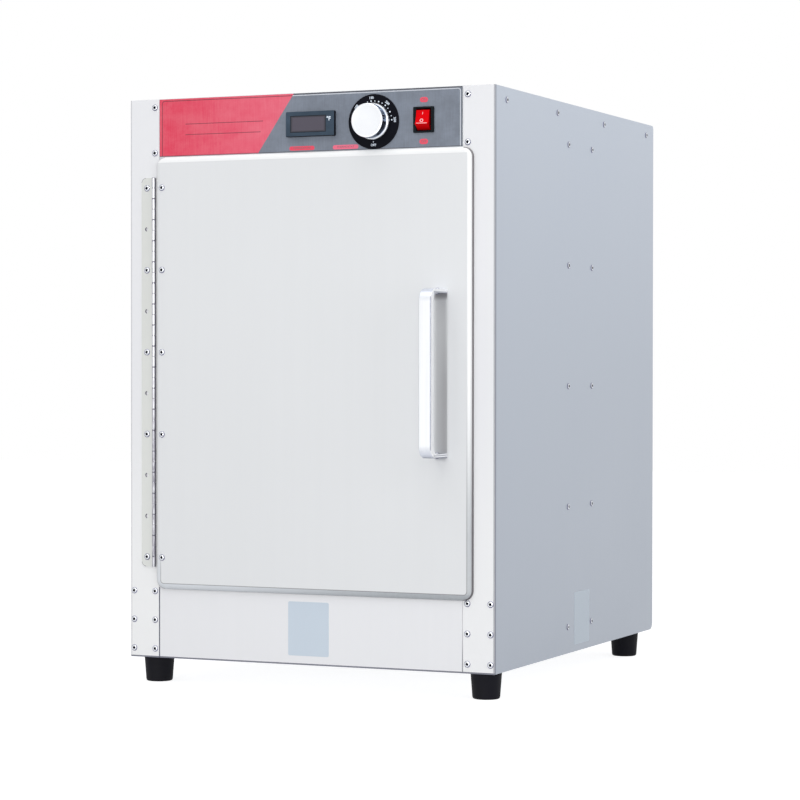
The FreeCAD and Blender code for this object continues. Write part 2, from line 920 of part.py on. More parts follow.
def half_turn(x, y, z, radius, forward):
    """A half circle in the level plane; forward bulges it to the front."""
    bulge = -radius if forward else radius
    return Part.Arc(Vector(x - radius, y, z), Vector(x, y + bulge, z), Vector(x + radius, y, z)).toShape()


def heating_element():
    """A sheathed rod in three hairpin bends on the cavity's floor, with its cold ends."""
    z = element_z
    bend = element_bend
    y_front = plug_inner + element_front_gap
    y_rear = cavity_back - element_inner_gap
    y_end = element_end
    columns = [-3 * bend, -bend, bend, 3 * bend]
    edges = [
        Part.LineSegment(Vector(columns[0], y_end, z), Vector(columns[0], y_front, z)).toShape(),
        half_turn(-2 * bend, y_front, z, bend, True),
        Part.LineSegment(Vector(columns[1], y_front, z), Vector(columns[1], y_rear, z)).toShape(),
        half_turn(0, y_rear, z, bend, False),
        Part.LineSegment(Vector(columns[2], y_rear, z), Vector(columns[2], y_front, z)).toShape(),
        half_turn(2 * bend, y_front, z, bend, True),
        Part.LineSegment(Vector(columns[3], y_front, z), Vector(columns[3], y_end, z)).toShape(),
    ]
    tube = swept_tube(edges, element_radius)
    pieces = [tube]
    for x in (columns[0], columns[3]):
        pieces.append(rod(Vector(x, liner_back, z), Vector(x, liner_back + element_flange_thick, z),
                          element_flange_radius))
        pieces.append(rod(Vector(x, y_end - terminal_length, z), Vector(x, y_end + terminal_length, z),
                          terminal_radius))
    return joined(pieces)


def element_brackets():
    """Two cross bars with saddles that carry the element off the cavity's floor."""
    z = element_z
    half = element_reach + bracket_margin
    bars = []
    for y in (plug_inner + bracket_front, cavity_back - bracket_rear_gap):
        bar = block(-half, half, y, y + bracket_width, cavity_floor, z)
        for share in (-3, -1, 1, 3):
            x = share * element_bend
            bar = bar.cut(rod(Vector(x, y - overrun, z), Vector(x, y + bracket_width + overrun, z),
                              element_radius))
        bars.append(bar)
    return group(bars)


def sensing_line(x, start_y, start_z, radius, length):
    """A thin tube from a control, back over the cavity and down to a thicker sensing tip."""
    y = cavity_back - bulb_wall_gap - bulb_radius
    z_tip = cavity_roof - bulb_below_roof
    points = [Vector(x, start_y, start_z), Vector(x, y, start_z), Vector(x, y, z_tip)]
    edges = bent_path(points, capillary_bend)
    tube = swept_tube(edges, capillary_radius)
    tip = rod(Vector(x, y, z_tip - length), Vector(x, y, z_tip), radius)
    tip = tip.makeFillet(radius / 2, [edge for edge in tip.Edges if edge.Curve.TypeId == "Part::GeomCircle"])
    overlap = rod(Vector(x, y, z_tip - radius), Vector(x, y, z_tip + radius), capillary_radius)
    return joined([tube, tip, overlap])


def sensor_clips():
    """Two saddle clips that hold the sensing tips to the cavity's back wall."""
    clips = []
    y = cavity_back - bulb_wall_gap - bulb_radius
    for x, radius, length in ((bulb_x, bulb_radius, bulb_length), (probe_x, probe_radius, probe_length)):
        z = cavity_roof - bulb_below_roof - length / 2
        outer = radius + clip_thick
        body = centred(x, z, 2 * outer, clip_width, y - outer, cavity_back)
        ears = centred(x, z, 2 * (outer + clip_ear), clip_width, cavity_back - clip_thick, cavity_back)
        clip = joined([body, ears])
        clips.append(clip.cut(rod(Vector(x, y, z - clip_width), Vector(x, y, z + clip_width), radius)))
    return group(clips)


def build_heating():
    """Write the element, its brackets and the sensing parts."""
    keep("heating_element", heating_element())
    keep("element_brackets", element_brackets())
    bulb_z = control_z - thermostat_height / 4
    bulb = sensing_line(bulb_x, strip_back + thermostat_depth, bulb_z, bulb_radius, bulb_length)
    keep("thermostat_bulb", bulb)
    probe_z = control_z - bezel_height / 4
    probe = sensing_line(probe_x, strip_back + bezel_case_depth, probe_z, probe_radius, probe_length)
    keep("thermometer_probe", probe)
    keep("sensor_clips", sensor_clips())


# Control panel fittings.

def thermometer_case():
    """The digital thermometer's bezel and the case behind it."""
    face = overlay_face - bezel_proud
    bezel = centred(thermometer_x, control_z, bezel_width, bezel_height, face, overlay_face)
    bezel = rounded(bezel, out_front, bezel_edge)
    body = centred(thermometer_x, control_z, bezel_width - 2 * bezel_case_margin,
                   bezel_height - 2 * bezel_case_margin, overlay_face, strip_back + bezel_case_depth)
    pocket = centred(window_x, control_z, window_width, window_height, face - overrun, face + window_depth)
    return joined([bezel, body]).cut(pocket)


def thermometer_window():
    """The dark window in the thermometer's bezel."""
    face = overlay_face - bezel_proud
    return centred(window_x, control_z, window_width, window_height, face + window_sink, face + window_depth)


def axis_ring(radius, inner, y0, y1):
    """A round plate about the dial's axis with a hole through it."""
    plate = rod(Vector(dial_x, y0, control_z), Vector(dial_x, y1, control_z), radius)
    tool = rod(Vector(dial_x, y0 - overrun, control_z), Vector(dial_x, y1 + overrun, control_z), inner)
    return plate.cut(tool)


def dial_plate():
    """The fixed black dial."""
    plate = axis_ring(dial_radius, bush_radius, overlay_face - dial_thick, overlay_face)
    rim = [edge for edge in plate.Edges if edge.Curve.TypeId == "Part::GeomCircle"
           and edge.Curve.Radius > dial_radius - dial_edge and edge.CenterOfMass.y < overlay_face - dial_edge]
    return plate.makeFillet(dial_edge, rim)


knob_back = overlay_face - dial_thick - knob_gap
knob_front = knob_back - knob_height


def control_knob():
    """The turned knob with its skirt, waist and flat face."""
    outline = [(0, knob_front), (knob_face_radius - knob_edge, knob_front),
               (knob_face_radius, knob_front + knob_edge), (knob_waist_radius, knob_back - 2 * knob_skirt),
               (knob_radius, knob_back - knob_skirt), (knob_radius, knob_back), (0, knob_back)]
    corners = [Vector(dial_x + r, y, control_z) for r, y in outline]
    face = Part.Face(Part.makePolygon(corners + corners[:1]))
    body = face.revolve(Vector(dial_x, 0, control_z), out_back, 360)
    well = axis_ring(knob_waist_radius - knob_wall, knob_hub_radius, knob_back - knob_socket_depth,
                     knob_back + overrun)
    bore = rod(Vector(dial_x, knob_back - shaft_seat, control_z),
               Vector(dial_x, knob_back + overrun, control_z), shaft_radius)
    return body.cut(well).cut(bore)


def thermostat_shaft():
    """The shaft that the knob turns."""
    return rod(Vector(dial_x, knob_back - shaft_seat, control_z),
               Vector(dial_x, strip_back + shaft_tail, control_z), shaft_radius)


def thermostat():
    """The thermostat's case, its threaded bush and its terminals."""
    body = centred(dial_x, control_z, thermostat_width, thermostat_height, strip_back,
                   strip_back + thermostat_depth)
    body = rounded(body, out_front, thermostat_edge)
    bush = rod(Vector(dial_x, overlay_face - dial_thick - bush_proud, control_z),
               Vector(dial_x, strip_back + thermostat_edge, control_z), bush_radius)
    pieces = [body, bush]
    for side in (-1, 1):
        x = dial_x + side * thermostat_width / 4
        pieces.append(centred(x, control_z, tab_width, tab_thick, strip_back + thermostat_depth - tab_length,
                              strip_back + thermostat_depth + tab_length))
    solid = joined(pieces)
    return solid.cut(rod(Vector(dial_x, front - overrun * 2, control_z),
                         Vector(dial_x, strip_back + shaft_tail, control_z),
                         shaft_radius + shaft_running_gap))


def switch_housing():
    """The rocker switch's frame and case, open at the front."""
    frame = centred(switch_x, control_z, switch_width, switch_height,
                    overlay_face - switch_proud, overlay_face)
    frame = rounded(frame, out_front, bezel_edge)
    body = centred(switch_x, control_z, switch_case_width, switch_case_height, overlay_face,
                   strip_back + switch_case_depth)
    pit = centred(switch_x, control_z, pit_width, pit_height,
                  overlay_face - overrun, front + rocker_pit_depth)
    pieces = [frame, body]
    for side in (-1, 1):
        z = control_z + side * switch_case_height / 4
        end = strip_back + switch_case_depth
        pieces.append(centred(switch_x, z, tab_width, tab_thick, end - tab_length, end + tab_length))
    pivot = pivot_rod(rocker_pin_radius + hinge_running_gap)
    return joined(pieces).cut(pit).cut(pivot)


def pivot_rod(radius):
    """A bar along the rocker's pivot."""
    reach = rocker_width / 2 + rocker_side_gap + rocker_pin_length
    y = front + rocker_pivot_depth
    return rod(Vector(switch_x - reach, y, control_z), Vector(switch_x + reach, y, control_z), radius)


def rocker():
    """The red rocker, tilted with its upper end pressed in."""
    pivot_y = front + rocker_pivot_depth
    points = [(-rocker_base_length / 2, rocker_base_height), (-rocker_top_length / 2, rocker_top_height),
              (rocker_top_length / 2, rocker_top_height), (rocker_base_length / 2, rocker_base_height),
              (rocker_foot_length / 2, -rocker_foot_depth), (-rocker_foot_length / 2, -rocker_foot_depth)]
    x = switch_x - rocker_width / 2
    corners = [Vector(x, pivot_y - rise, control_z + along) for along, rise in points]
    body = Part.Face(Part.makePolygon(corners + corners[:1])).extrude(Vector(rocker_width, 0, 0))
    pins = pivot_rod(rocker_pin_radius)
    solid = joined([body, pins])
    solid.rotate(Vector(0, pivot_y, control_z), out_right, -rocker_angle)
    return solid


def build_controls():
    """Write the fittings on and behind the control panel."""
    keep("thermometer_case", thermometer_case())
    keep("thermometer_window", thermometer_window())
    keep("dial_plate", dial_plate())
    keep("control_knob", control_knob())
    keep("thermostat_shaft", thermostat_shaft())
    keep("thermostat", thermostat())
    keep("switch_housing", switch_housing())
    keep("rocker", rocker())


# Mains inlet.

def inlet_seats():
    """The two screw seats on the inlet's flange, on the panel's face."""
    z = case_floor + inlet_height
    half = inlet_screw_spacing / 2
    return [Vector(inlet_x - half, back, z), Vector(inlet_x + half, back, z)]


def inlet_cutter():
    """The cut-out in the back panel for the inlet's body."""
    z = case_floor + inlet_height
    return centred(inlet_x, z, inlet_body_width, inlet_body_height,
                   back - skin_sheet - overrun, back + overrun)


def power_inlet():
    """The mains socket with its flange, its well and its three blades."""
    z = case_floor + inlet_height
    face = back + inlet_flange_thick
    flange = centred(inlet_x, z, inlet_width, inlet_flange_height, back, face)
    flange = rounded(flange, out_back, inlet_corner)
    body_front = face - socket_depth - inlet_floor
    body = centred(inlet_x, z, inlet_body_width, inlet_body_height, body_front, back)
    well = centred(inlet_x, z, socket_width, socket_height, face - socket_depth, face + overrun)
    well = rounded(well, out_back, socket_corner)
    blades = []
    floor_y = face - socket_depth
    for x, rise in ((-pin_spacing, -pin_rise), (0, pin_rise), (pin_spacing, -pin_rise)):
        blades.append(centred(inlet_x + x, z + rise, pin_thick, pin_width, floor_y - pin_thick,
                              floor_y + pin_length))
    shell = joined([flange, body]).cut(well)
    shell = shell.cut(holes(inlet_seats(), out_back, screw_tail))
    return joined([shell] + blades)


# Wiring.

def wiring():
    """The wires from the inlet to the switch and from the thermostat to the element's ends."""
    channel = element_end + terminal_length / 2
    inlet_top = case_floor + inlet_height + inlet_body_height / 2
    switch_end = strip_back + switch_case_depth + tab_length
    routes = []
    for side in (-1, 1):
        x = switch_x + side * wire_spacing / 2
        z = control_z + side * switch_case_height / 4
        routes.append([Vector(x, channel, inlet_top), Vector(x, channel, z), Vector(x, switch_end, z)])
    stat_end = strip_back + thermostat_depth + tab_length
    low = element_ends()[0].z
    crossings = (wire_cross_high, wire_cross_low)
    for side, end, cross in zip((-1, 1), element_ends(), crossings):
        x = dial_x + side * thermostat_width / 4
        routes.append([Vector(x, stat_end, control_z), Vector(x, channel, control_z),
                       Vector(x, channel, low + cross), Vector(end.x, channel, low + cross),
                       Vector(end.x, channel, low + terminal_radius)])
    return group([swept_tube(bent_path(route, wire_bend), wire_radius) for route in routes])


# Feet.

def foot_places():
    """The four foot centres on the floor, with their names."""
    x = case_right - foot_inset_x
    y0 = front + foot_inset_front
    y1 = back - foot_inset_rear
    return {"front_left_foot": Vector(-x, y0, 0), "front_right_foot": Vector(x, y0, 0),
            "rear_left_foot": Vector(-x, y1, 0), "rear_right_foot": Vector(x, y1, 0)}


def foot_holes():
    """The bolt holes in the base pan."""
    seats = [place + out_up * foot_height for place in foot_places().values()]
    return holes(seats, out_up * -1, base_sheet, bolt_radius)


def foot():
    """A tapered rubber foot with a well for its bolt head."""
    height = foot_height - washer_thick
    body = Part.makeCone(foot_base_radius, foot_top_radius, height)
    low_edge = [edge for edge in body.Edges if edge.Curve.TypeId == "Part::GeomCircle"
                and edge.CenterOfMass.z < foot_edge]
    body = body.makeFillet(foot_edge, low_edge)
    body = body.cut(Part.makeCylinder(foot_well_radius, foot_well_depth))
    return body.cut(Part.makeCylinder(bolt_radius, height + overrun))


def foot_bolt():
    """A foot's bolt, with the washer over the foot."""
    tip = foot_height + base_sheet + nut_height + bolt_tip
    seat = Vector(0, 0, foot_well_depth)
    head = Part.makeCylinder(bolt_head_radius, bolt_head_height, seat - out_up * bolt_head_height)
    shank = Part.makeCylinder(bolt_radius, tip - foot_well_depth, seat)
    return joined([head, shank])


def foot_washer():
    """The thin steel washer between a foot and the base pan."""
    washer = Part.makeCylinder(washer_radius, washer_thick, Vector(0, 0, foot_height - washer_thick))
    return washer.cut(Part.makeCylinder(bolt_radius, foot_height + overrun))


def foot_nut():
    """The hexagon nut that holds a foot's bolt inside the casing."""
    z = foot_height + base_sheet
    corners = []
    for index in range(7):
        angle = math.radians(60 * index)
        corners.append(Vector(nut_radius * math.cos(angle), nut_radius * math.sin(angle), z))
    nut = Part.Face(Part.makePolygon(corners)).extrude(Vector(0, 0, nut_height))
    return nut.cut(Part.makeCylinder(bolt_radius, z + nut_height + overrun))


def build_feet():
    """Write the feet and their bolts."""
    fasteners = []
    for name, place in foot_places().items():
        pad = foot()
        pad.translate(place)
        keep(name, pad)
        for piece in (foot_bolt(), foot_washer(), foot_nut()):
            piece.translate(place)
            fasteners.append(piece)
    keep("foot_bolts", group(fasteners))


# Door.

def door_outline(margin, y0, y1):
    """A rounded block of the door's outline, drawn in by a margin."""
    shape = block(door_left + margin, door_right - margin, y0, y1, door_bottom + margin, door_top - margin)
    return rounded(shape, out_front, door_corner - margin)


def front_rim(shape, y):
    """The edges of a shape that lie on one front plane."""
    found = []
    for edge in shape.Edges:
        span = edge.BoundBox
        if abs(span.YMin - y) < leaf_running_gap and abs(span.YMax - y) < leaf_running_gap:
            found.append(edge)
    return found


def door_room(y1):
    """The space inside the door's skin, as far back as y1."""
    inner_face = door_face + door_skin_sheet
    room = door_outline(door_skin_sheet, inner_face, rim_back + overrun)
    room = room.makeFillet(door_bevel - door_skin_sheet, front_rim(room, inner_face))
    return room.common(block(door_left, door_right, inner_face, y1, door_bottom, door_top))


def door_skin():
    """The door's outer pan with a rounded rim, notched along the hinge."""
    outer = door_outline(0, door_face, rim_back)
    outer = outer.makeFillet(door_bevel, front_rim(outer, door_face))
    skin = outer.cut(door_room(rim_back + overrun))
    notch = block(door_left - overrun, door_left + door_skin_sheet + knuckle_gap,
                  leaf_face - leaf_running_gap, rim_back + overrun, hinge_bottom - flange_space,
                  hinge_top + flange_space)
    skin = skin.cut(notch)
    skin = skin.cut(holes(door_screw_seats, out_front, door_skin_sheet))
    return skin.cut(holes(handle_seats(), out_front, door_skin_sheet, handle_screw_radius))


def plug_block(margin, y0, y1):
    """A block of the door plug's outline, drawn in by a margin."""
    gap = plug_clearance + margin
    return block(-cavity_side + gap, cavity_side - gap, y0, y1, cavity_floor + gap, cavity_roof - gap)


pan_back = leaf_face
pan_front = leaf_face - door_pan_sheet


def door_pan():
    """The door's inner pan: a flange behind the skin and a plug that enters the cavity."""
    margin = door_skin_sheet + leaf_running_gap
    flange = door_outline(margin, pan_front, pan_back)
    plug = plug_block(0, pan_front, plug_inner)
    room = plug_block(door_pan_sheet, pan_front - overrun, plug_inner - door_pan_sheet)
    pan = joined([flange, plug]).cut(room)
    return pan.cut(holes(door_screw_seats, out_front, door_proud))


def door_core():
    """The insulation that fills the skin and the plug."""
    layer = door_room(pan_front)
    plug = plug_block(door_pan_sheet, pan_front, plug_inner - door_pan_sheet)
    core = joined([layer, plug])
    core = core.cut(holes(door_screw_seats, out_front, door_proud))
    tools = []
    for seat in handle_seats():
        start = seat + out_back * door_skin_sheet
        tools.append(rod(start, start + out_back * (handle_screw_head + flange_space),
                         handle_screw_head_radius + screw_slack))
    return core.cut(group(tools))


def door_gasket():
    """The seal on the pan's flange, round the plug."""
    seat = strip_back - gasket_lip
    inner_gap = plug_clearance
    outer_gap = gasket_edge + gasket_width
    outer = block(-cavity_side - outer_gap, cavity_side + outer_gap, pan_back, seat,
                  cavity_floor - outer_gap, cavity_roof + outer_gap)
    outer = rounded(outer, out_front, gasket_width)
    inner = block(-cavity_side + inner_gap, cavity_side - inner_gap, pan_back - overrun, seat + overrun,
                  cavity_floor + inner_gap, cavity_roof - inner_gap)
    lip = block(-cavity_side - gasket_edge, cavity_side + gasket_edge, pan_back - overrun, seat + overrun,
                cavity_floor - gasket_edge, cavity_roof + gasket_edge)
    return outer.cut(lip).common(outer.cut(inner))


def hinge_leaf(side):
    """A hinge leaf with its knuckles: side -1 is fixed to the frame and 1 to the door."""
    first = 0 if side < 0 else 1
    gap = leaf_running_gap if side > 0 else 0
    near = hinge_x + side * (knuckle_radius + knuckle_gap)
    far = hinge_x + side * leaf_width
    plate = block(min(near, far), max(near, far), leaf_face, front - gap, hinge_bottom, hinge_top)
    outer_edges = [edge for edge in edges_along(plate, out_front)
                   if abs(edge.CenterOfMass.x - far) < leaf_thick]
    plate = plate.makeFillet(leaf_corner, outer_edges)
    pitch = (hinge_top - hinge_bottom) / knuckle_count
    pieces = [plate]
    for index in range(first, knuckle_count, 2):
        z0 = hinge_bottom + pitch * index + knuckle_gap / 2
        z1 = hinge_bottom + pitch * (index + 1) - knuckle_gap / 2
        pieces.append(rod(Vector(hinge_x, hinge_y, z0), Vector(hinge_x, hinge_y, z1), knuckle_radius))
        x0 = min(near, hinge_x)
        x1 = max(near, hinge_x)
        pieces.append(block(x0, x1, leaf_face, front - gap - knuckle_lift, z0, z1))
    leaf = joined(pieces)
    leaf = leaf.cut(hinge_rod(hinge_pin_radius + hinge_running_gap, overrun))
    seats = door_screw_seats if side > 0 else frame_leaf_holes
    return leaf.cut(holes(seats, out_front, door_proud))


def hinge_rod(radius, extra):
    """A bar along the hinge's axis, longer than the hinge by extra at each end."""
    start = Vector(hinge_x, hinge_y, hinge_bottom - extra)
    return rod(start, Vector(hinge_x, hinge_y, hinge_top + extra), radius)


def handle_seats():
    """The places where the handle's legs meet the door."""
    half = handle_leg / 2
    return [Vector(handle_x, door_face, handle_bottom + half),
            Vector(handle_x, door_face, handle_bottom + handle_height - half)]


def handle_bends(shape):
    """The edges where the handle's bar turns into its legs."""
    return [edge for edge in edges_along(shape, out_right) if edge.CenterOfMass.y < door_face - handle_leg]


def door_handle():
    """The bar handle, bent to a U and rounded at its corners."""
    x0 = handle_x - handle_width / 2
    x1 = handle_x + handle_width / 2
    z0 = handle_bottom
    z1 = z0 + handle_height
    outer = block(x0, x1, door_face - handle_reach, door_face, z0, z1)
    outer = outer.makeFillet(handle_outer_corner, handle_bends(outer))
    inner_face = door_face - handle_reach + handle_grip
    inner = block(x0 - overrun, x1 + overrun, inner_face, door_face + overrun,
                  z0 + handle_leg, z1 - handle_leg)
    inner = inner.makeFillet(handle_inner_corner, handle_bends(inner))
    bar = outer.cut(inner)
    rims = [edge for edge in bar.Edges
            if edge.BoundBox.XLength < handle_edge and edge.BoundBox.YMin < door_face - handle_edge]
    bar = bar.makeFillet(handle_edge, rims)
    tools = []
    for seat in handle_seats():
        tip = seat - out_back * handle_screw_depth
        tools.append(rod(seat + out_back * overrun, tip, handle_screw_radius))
    return bar.cut(group(tools))


def handle_screws():
    """The screws that hold the handle from inside the door."""
    solids = []
    for seat in handle_seats():
        inside = seat + out_back * door_skin_sheet
        head = rod(inside, inside + out_back * handle_screw_head, handle_screw_head_radius)
        shank = rod(inside, seat - out_back * handle_screw_depth, handle_screw_radius)
        solids.append(joined([head, shank]))
    return solids


def catch_block(z, y0, y1):
    """A catch piece on the right of the opening, from y0 to y1."""
    x1 = strip_edge - catch_inset
    return block(x1 - catch_width, x1, y0, y1, z, z + catch_height)


def build_door():
    """Write the door, its hinge, its handle and its catches."""
    keep("door_skin", door_skin())
    keep("door_pan", door_pan())
    keep("door_insulation", door_core())
    keep("door_gasket", door_gasket())
    keep("frame_hinge_leaf", hinge_leaf(-1))
    keep("door_hinge_leaf", hinge_leaf(1))
    keep("hinge_pin", hinge_rod(hinge_pin_radius, 0))
    keep("frame_hinge_screws", group(screws(frame_leaf_seats, out_front, through_leaf)))
    grip = door_proud - door_tail
    keep("door_screws", group(screws(door_screw_seats, out_front, grip) + handle_screws()))
    keep("door_handle", door_handle())
    heights = [cavity_floor + catch_rise, cavity_roof - catch_drop - catch_height]
    keep("catch_magnets", group([catch_block(z, strip_back - catch_thick, strip_back) for z in heights]))
    keep("catch_plates", group([catch_block(z, pan_back, pan_back + plate_thick) for z in heights]))


os.makedirs("parts", exist_ok=True)
build_casing()
build_cavity()
build_shelves()
build_heating()
build_controls()
keep("power_inlet", power_inlet())
keep("wiring", wiring())
build_feet()
build_door()
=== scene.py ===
"""The looks of a heated plate cabinet with a side-hung door and a control panel."""

import logging
import math
from dataclasses import dataclass
from enum import Enum
from typing import Any, Callable, Iterable, Optional, Sequence, Union

import bmesh
import bpy
from mathutils import Matrix, Vector


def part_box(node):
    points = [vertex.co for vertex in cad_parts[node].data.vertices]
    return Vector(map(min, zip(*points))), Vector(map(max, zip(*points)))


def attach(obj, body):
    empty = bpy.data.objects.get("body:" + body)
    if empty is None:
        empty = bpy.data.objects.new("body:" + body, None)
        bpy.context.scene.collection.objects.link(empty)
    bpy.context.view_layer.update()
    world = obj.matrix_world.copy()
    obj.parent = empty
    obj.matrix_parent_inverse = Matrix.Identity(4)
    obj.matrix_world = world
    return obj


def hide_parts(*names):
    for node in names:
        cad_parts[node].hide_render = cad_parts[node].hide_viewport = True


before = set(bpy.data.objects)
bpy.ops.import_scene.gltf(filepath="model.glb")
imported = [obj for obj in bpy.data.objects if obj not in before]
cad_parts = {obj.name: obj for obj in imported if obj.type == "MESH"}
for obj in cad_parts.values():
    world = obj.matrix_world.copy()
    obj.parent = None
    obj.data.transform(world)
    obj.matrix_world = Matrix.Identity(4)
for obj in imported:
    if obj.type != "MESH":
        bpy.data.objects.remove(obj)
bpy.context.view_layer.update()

MM = 0.001
FULL_TURN = 2 * math.pi
MERGE = 2e-6
WHITE = (1.0, 1.0, 1.0)
TO_FRONT = (0, -1, 0)
LOG = logging.getLogger("plate_cabinet")

Mesh = bmesh.types.BMesh
Socket = bpy.types.NodeSocket
Span = tuple[float, float]
Point = tuple[float, float, float]
Colour = tuple[float, float, float]
Term = Union["Value", float]


def middle_of(node: str) -> Vector:
    """The middle of a CAD node's box."""
    low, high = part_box(node)
    return (low + high) / 2


# Shader tools.


class Value:
    """A socket that takes part in sums.

    Args:
        graph: The graph that the socket belongs to.
        socket: An output socket that carries a number.
    """

    def __init__(self, graph: "Graph", socket: Socket) -> None:
        self.graph = graph
        self.socket = socket

    def _math(self, operation: str, *terms: Term) -> "Value":
        """A Math node over the given terms."""
        return self.graph.value("ShaderNodeMath", dict(enumerate(terms)), operation=operation)

    def __add__(self, other: Term) -> "Value":
        """This value plus another."""
        return self._math("ADD", self, other)

    __radd__ = __add__

    def __sub__(self, other: Term) -> "Value":
        """This value less another."""
        return self._math("SUBTRACT", self, other)

    def __rsub__(self, other: float) -> "Value":
        """A number less this value."""
        return self._math("SUBTRACT", other, self)

    def __mul__(self, other: Term) -> "Value":
        """This value times another."""
        return self._math("MULTIPLY", self, other)

    __rmul__ = __mul__

    def __truediv__(self, other: Term) -> "Value":
        """This value over another."""
        return self._math("DIVIDE", self, other)

    def size(self) -> "Value":
        """This value without its sign."""
        return self._math("ABSOLUTE", self)

    def above(self, limit: Term) -> "Value":
        """One where this value is over the limit, and zero elsewhere."""
        return self._math("GREATER_THAN", self, limit)

    def below(self, limit: Term) -> "Value":
        """One where this value is under the limit, and zero elsewhere."""
        return self._math("LESS_THAN", self, limit)

    def within(self, low: float, high: float) -> "Value":
        """One where this value lies between two limits."""
        return self.above(low) * self.below(high)

    def beyond(self, low: float, high: float) -> "Value":
        """How far this value is outside two limits, and zero between them."""
        return ((self - (low + high) / 2).size() - (high - low) / 2).at_least(0.0)

    def at_least(self, limit: Term) -> "Value":
        """This value, or the limit where the limit is more."""
        return self._math("MAXIMUM", self, limit)

    def diagonal(self, other: "Value") -> "Value":
        """The length across this value and another that stands square to it."""
        return self._math("SQRT", self * self + other * other)

    def cycle(self, period: float) -> "Value":
        """What is left of this value after whole periods."""
        return self._math("FLOORED_MODULO", self, period)

    def rise(self, low: float, high: float) -> "Value":
        """A soft step from zero at low to one at high."""
        sockets = {"Value": self, "From Min": low, "From Max": high}
        return self.graph.value("ShaderNodeMapRange", sockets, interpolation_type="SMOOTHSTEP")


class Graph:
    """A node tree that nodes are added to."""

    def __init__(self, tree: bpy.types.NodeTree) -> None:
        self.tree = tree

    def feed(self, socket: Socket, value: Any) -> None:
        """Link a Value or a socket to a socket, or set it to a number or a tuple."""
        if isinstance(value, Value):
            value = value.socket
        if isinstance(value, Socket):
            self.tree.links.new(value, socket)
        elif socket.type == "RGBA":
            socket.default_value = (*value[:3], 1.0)
        else:
            socket.default_value = value

    def node(self, kind: str, sockets: Optional[dict] = None, **settings: Any) -> bpy.types.Node:
        """Add a node.

        Args:
            kind: The node's type.
            sockets: Values or links by the input's name or number.
            settings: Its own properties, set before its sockets.

        Returns:
            The new node.
        """
        node = self.tree.nodes.new(kind)
        for name, value in settings.items():
            setattr(node, name, value)
        for key, value in (sockets or {}).items():
            self.feed(node.inputs[key], value)
        return node

    def value(self, kind: str, sockets: Optional[dict] = None, **settings: Any) -> Value:
        """The first output of a new node as a value."""
        return Value(self, self.node(kind, sockets, **settings).outputs[0])


class Shader(Graph):
    """One material's node tree with its surface shader.

    Args:
        name: The material's name.
    """

    def __init__(self, name: str) -> None:
        self.material = bpy.data.materials.new(name)
        self.material.use_nodes = True
        super().__init__(self.material.node_tree)
        self.surface = self.tree.nodes["Principled BSDF"]

    def set(self, **sockets: Any) -> None:
        """Feed the surface shader's sockets, named with underscores for spaces."""
        for name, value in sockets.items():
            self.feed(self.surface.inputs[name.replace("_", " ")], value)

    def place(self, scale: Union[float, Point] = 1.0, centre: Sequence[float] = (0.0, 0.0, 0.0)) -> Socket:
        """The place on the object in metres, moved and then stretched.

        Args:
            scale: How much all axes, or each of them, are multiplied by.
            centre: The point that becomes the pattern's origin.

        Returns:
            The vector socket.
        """
        scale = scale if isinstance(scale, tuple) else (scale,) * 3
        spot = self.node("ShaderNodeTexCoord").outputs["Object"]
        shift = tuple(-c * s for c, s in zip(centre, scale))
        return self.node("ShaderNodeMapping", {"Vector": spot, "Location": shift, "Scale": scale}).outputs[0]

    def axes(self, centre: Sequence[float] = (0.0, 0.0, 0.0)) -> tuple[Value, Value, Value]:
        """The place on the object in metres as three values."""
        parts = self.node("ShaderNodeSeparateXYZ", {0: self.place(centre=centre)})
        return tuple(Value(self, socket) for socket in parts.outputs)

    def noise(self, scale: Union[float, Point], detail: float = 3.0, rough: float = 0.5) -> Value:
        """Cloudy noise between zero and one.

        Args:
            scale: Its cells per metre, along all axes or along each.
            detail: How many finer layers it has.
            rough: How strong the finer layers are.

        Returns:
            The noise.
        """
        sockets = {"Vector": self.place(scale), "Scale": 1.0, "Detail": detail, "Roughness": rough}
        return self.value("ShaderNodeTexNoise", sockets)

    def cells(self, scale: float) -> bpy.types.Node:
        """A cell pattern with the given number of cells per metre."""
        return self.node("ShaderNodeTexVoronoi", {"Vector": self.place(scale), "Scale": 1.0})

    def mix(self, share: Term, first: Any, second: Any) -> Socket:
        """A colour between two colours, with the given share of the second."""
        return self.node("ShaderNodeMix", {0: share, 6: first, 7: second}, data_type="RGBA").outputs[2]

    def overlay(self, share: Term, colour: Any) -> None:
        """Lay a colour over the one that is linked to the surface."""
        plain = self.surface.inputs["Base Color"].links[0].from_socket
        self.set(Base_Color=self.mix(share, plain, colour))

    def relief(self, height: Value, depth: float) -> None:
        """Raise the surface by a height pattern of the given depth in metres."""
        bump = self.node("ShaderNodeBump", {"Height": height, "Distance": depth, "Strength": 1.0})
        self.set(Normal=bump.outputs[0])


def shade(colour: Colour, factor: float) -> Colour:
    """A colour made lighter or darker by a factor."""
    return tuple(min(part * factor, 1.0) for part in colour)


def from_screen(red: int, green: int, bend_reflection: int) -> Colour:
    """A screen colour of 0 to 255 as linear light."""
    parts = (level / 255 for level in (red, green, bend_reflection))
    return tuple(part / 12.92 if part <= 0.04045 else ((part + 0.055) / 1.055) ** 2.4 for part in parts)


# Finishes.


class Grain(Enum):
    """Which way the lines of a brushed sheet run."""

    UPRIGHT = "z"
    SIDEWAYS = "x"
    INWARD = "y"

    def scale(self, along: float, across: float) -> Point:
        """The pattern's cells per metre on each axis."""
        return tuple(along if axis == self.value else across for axis in "xyz")


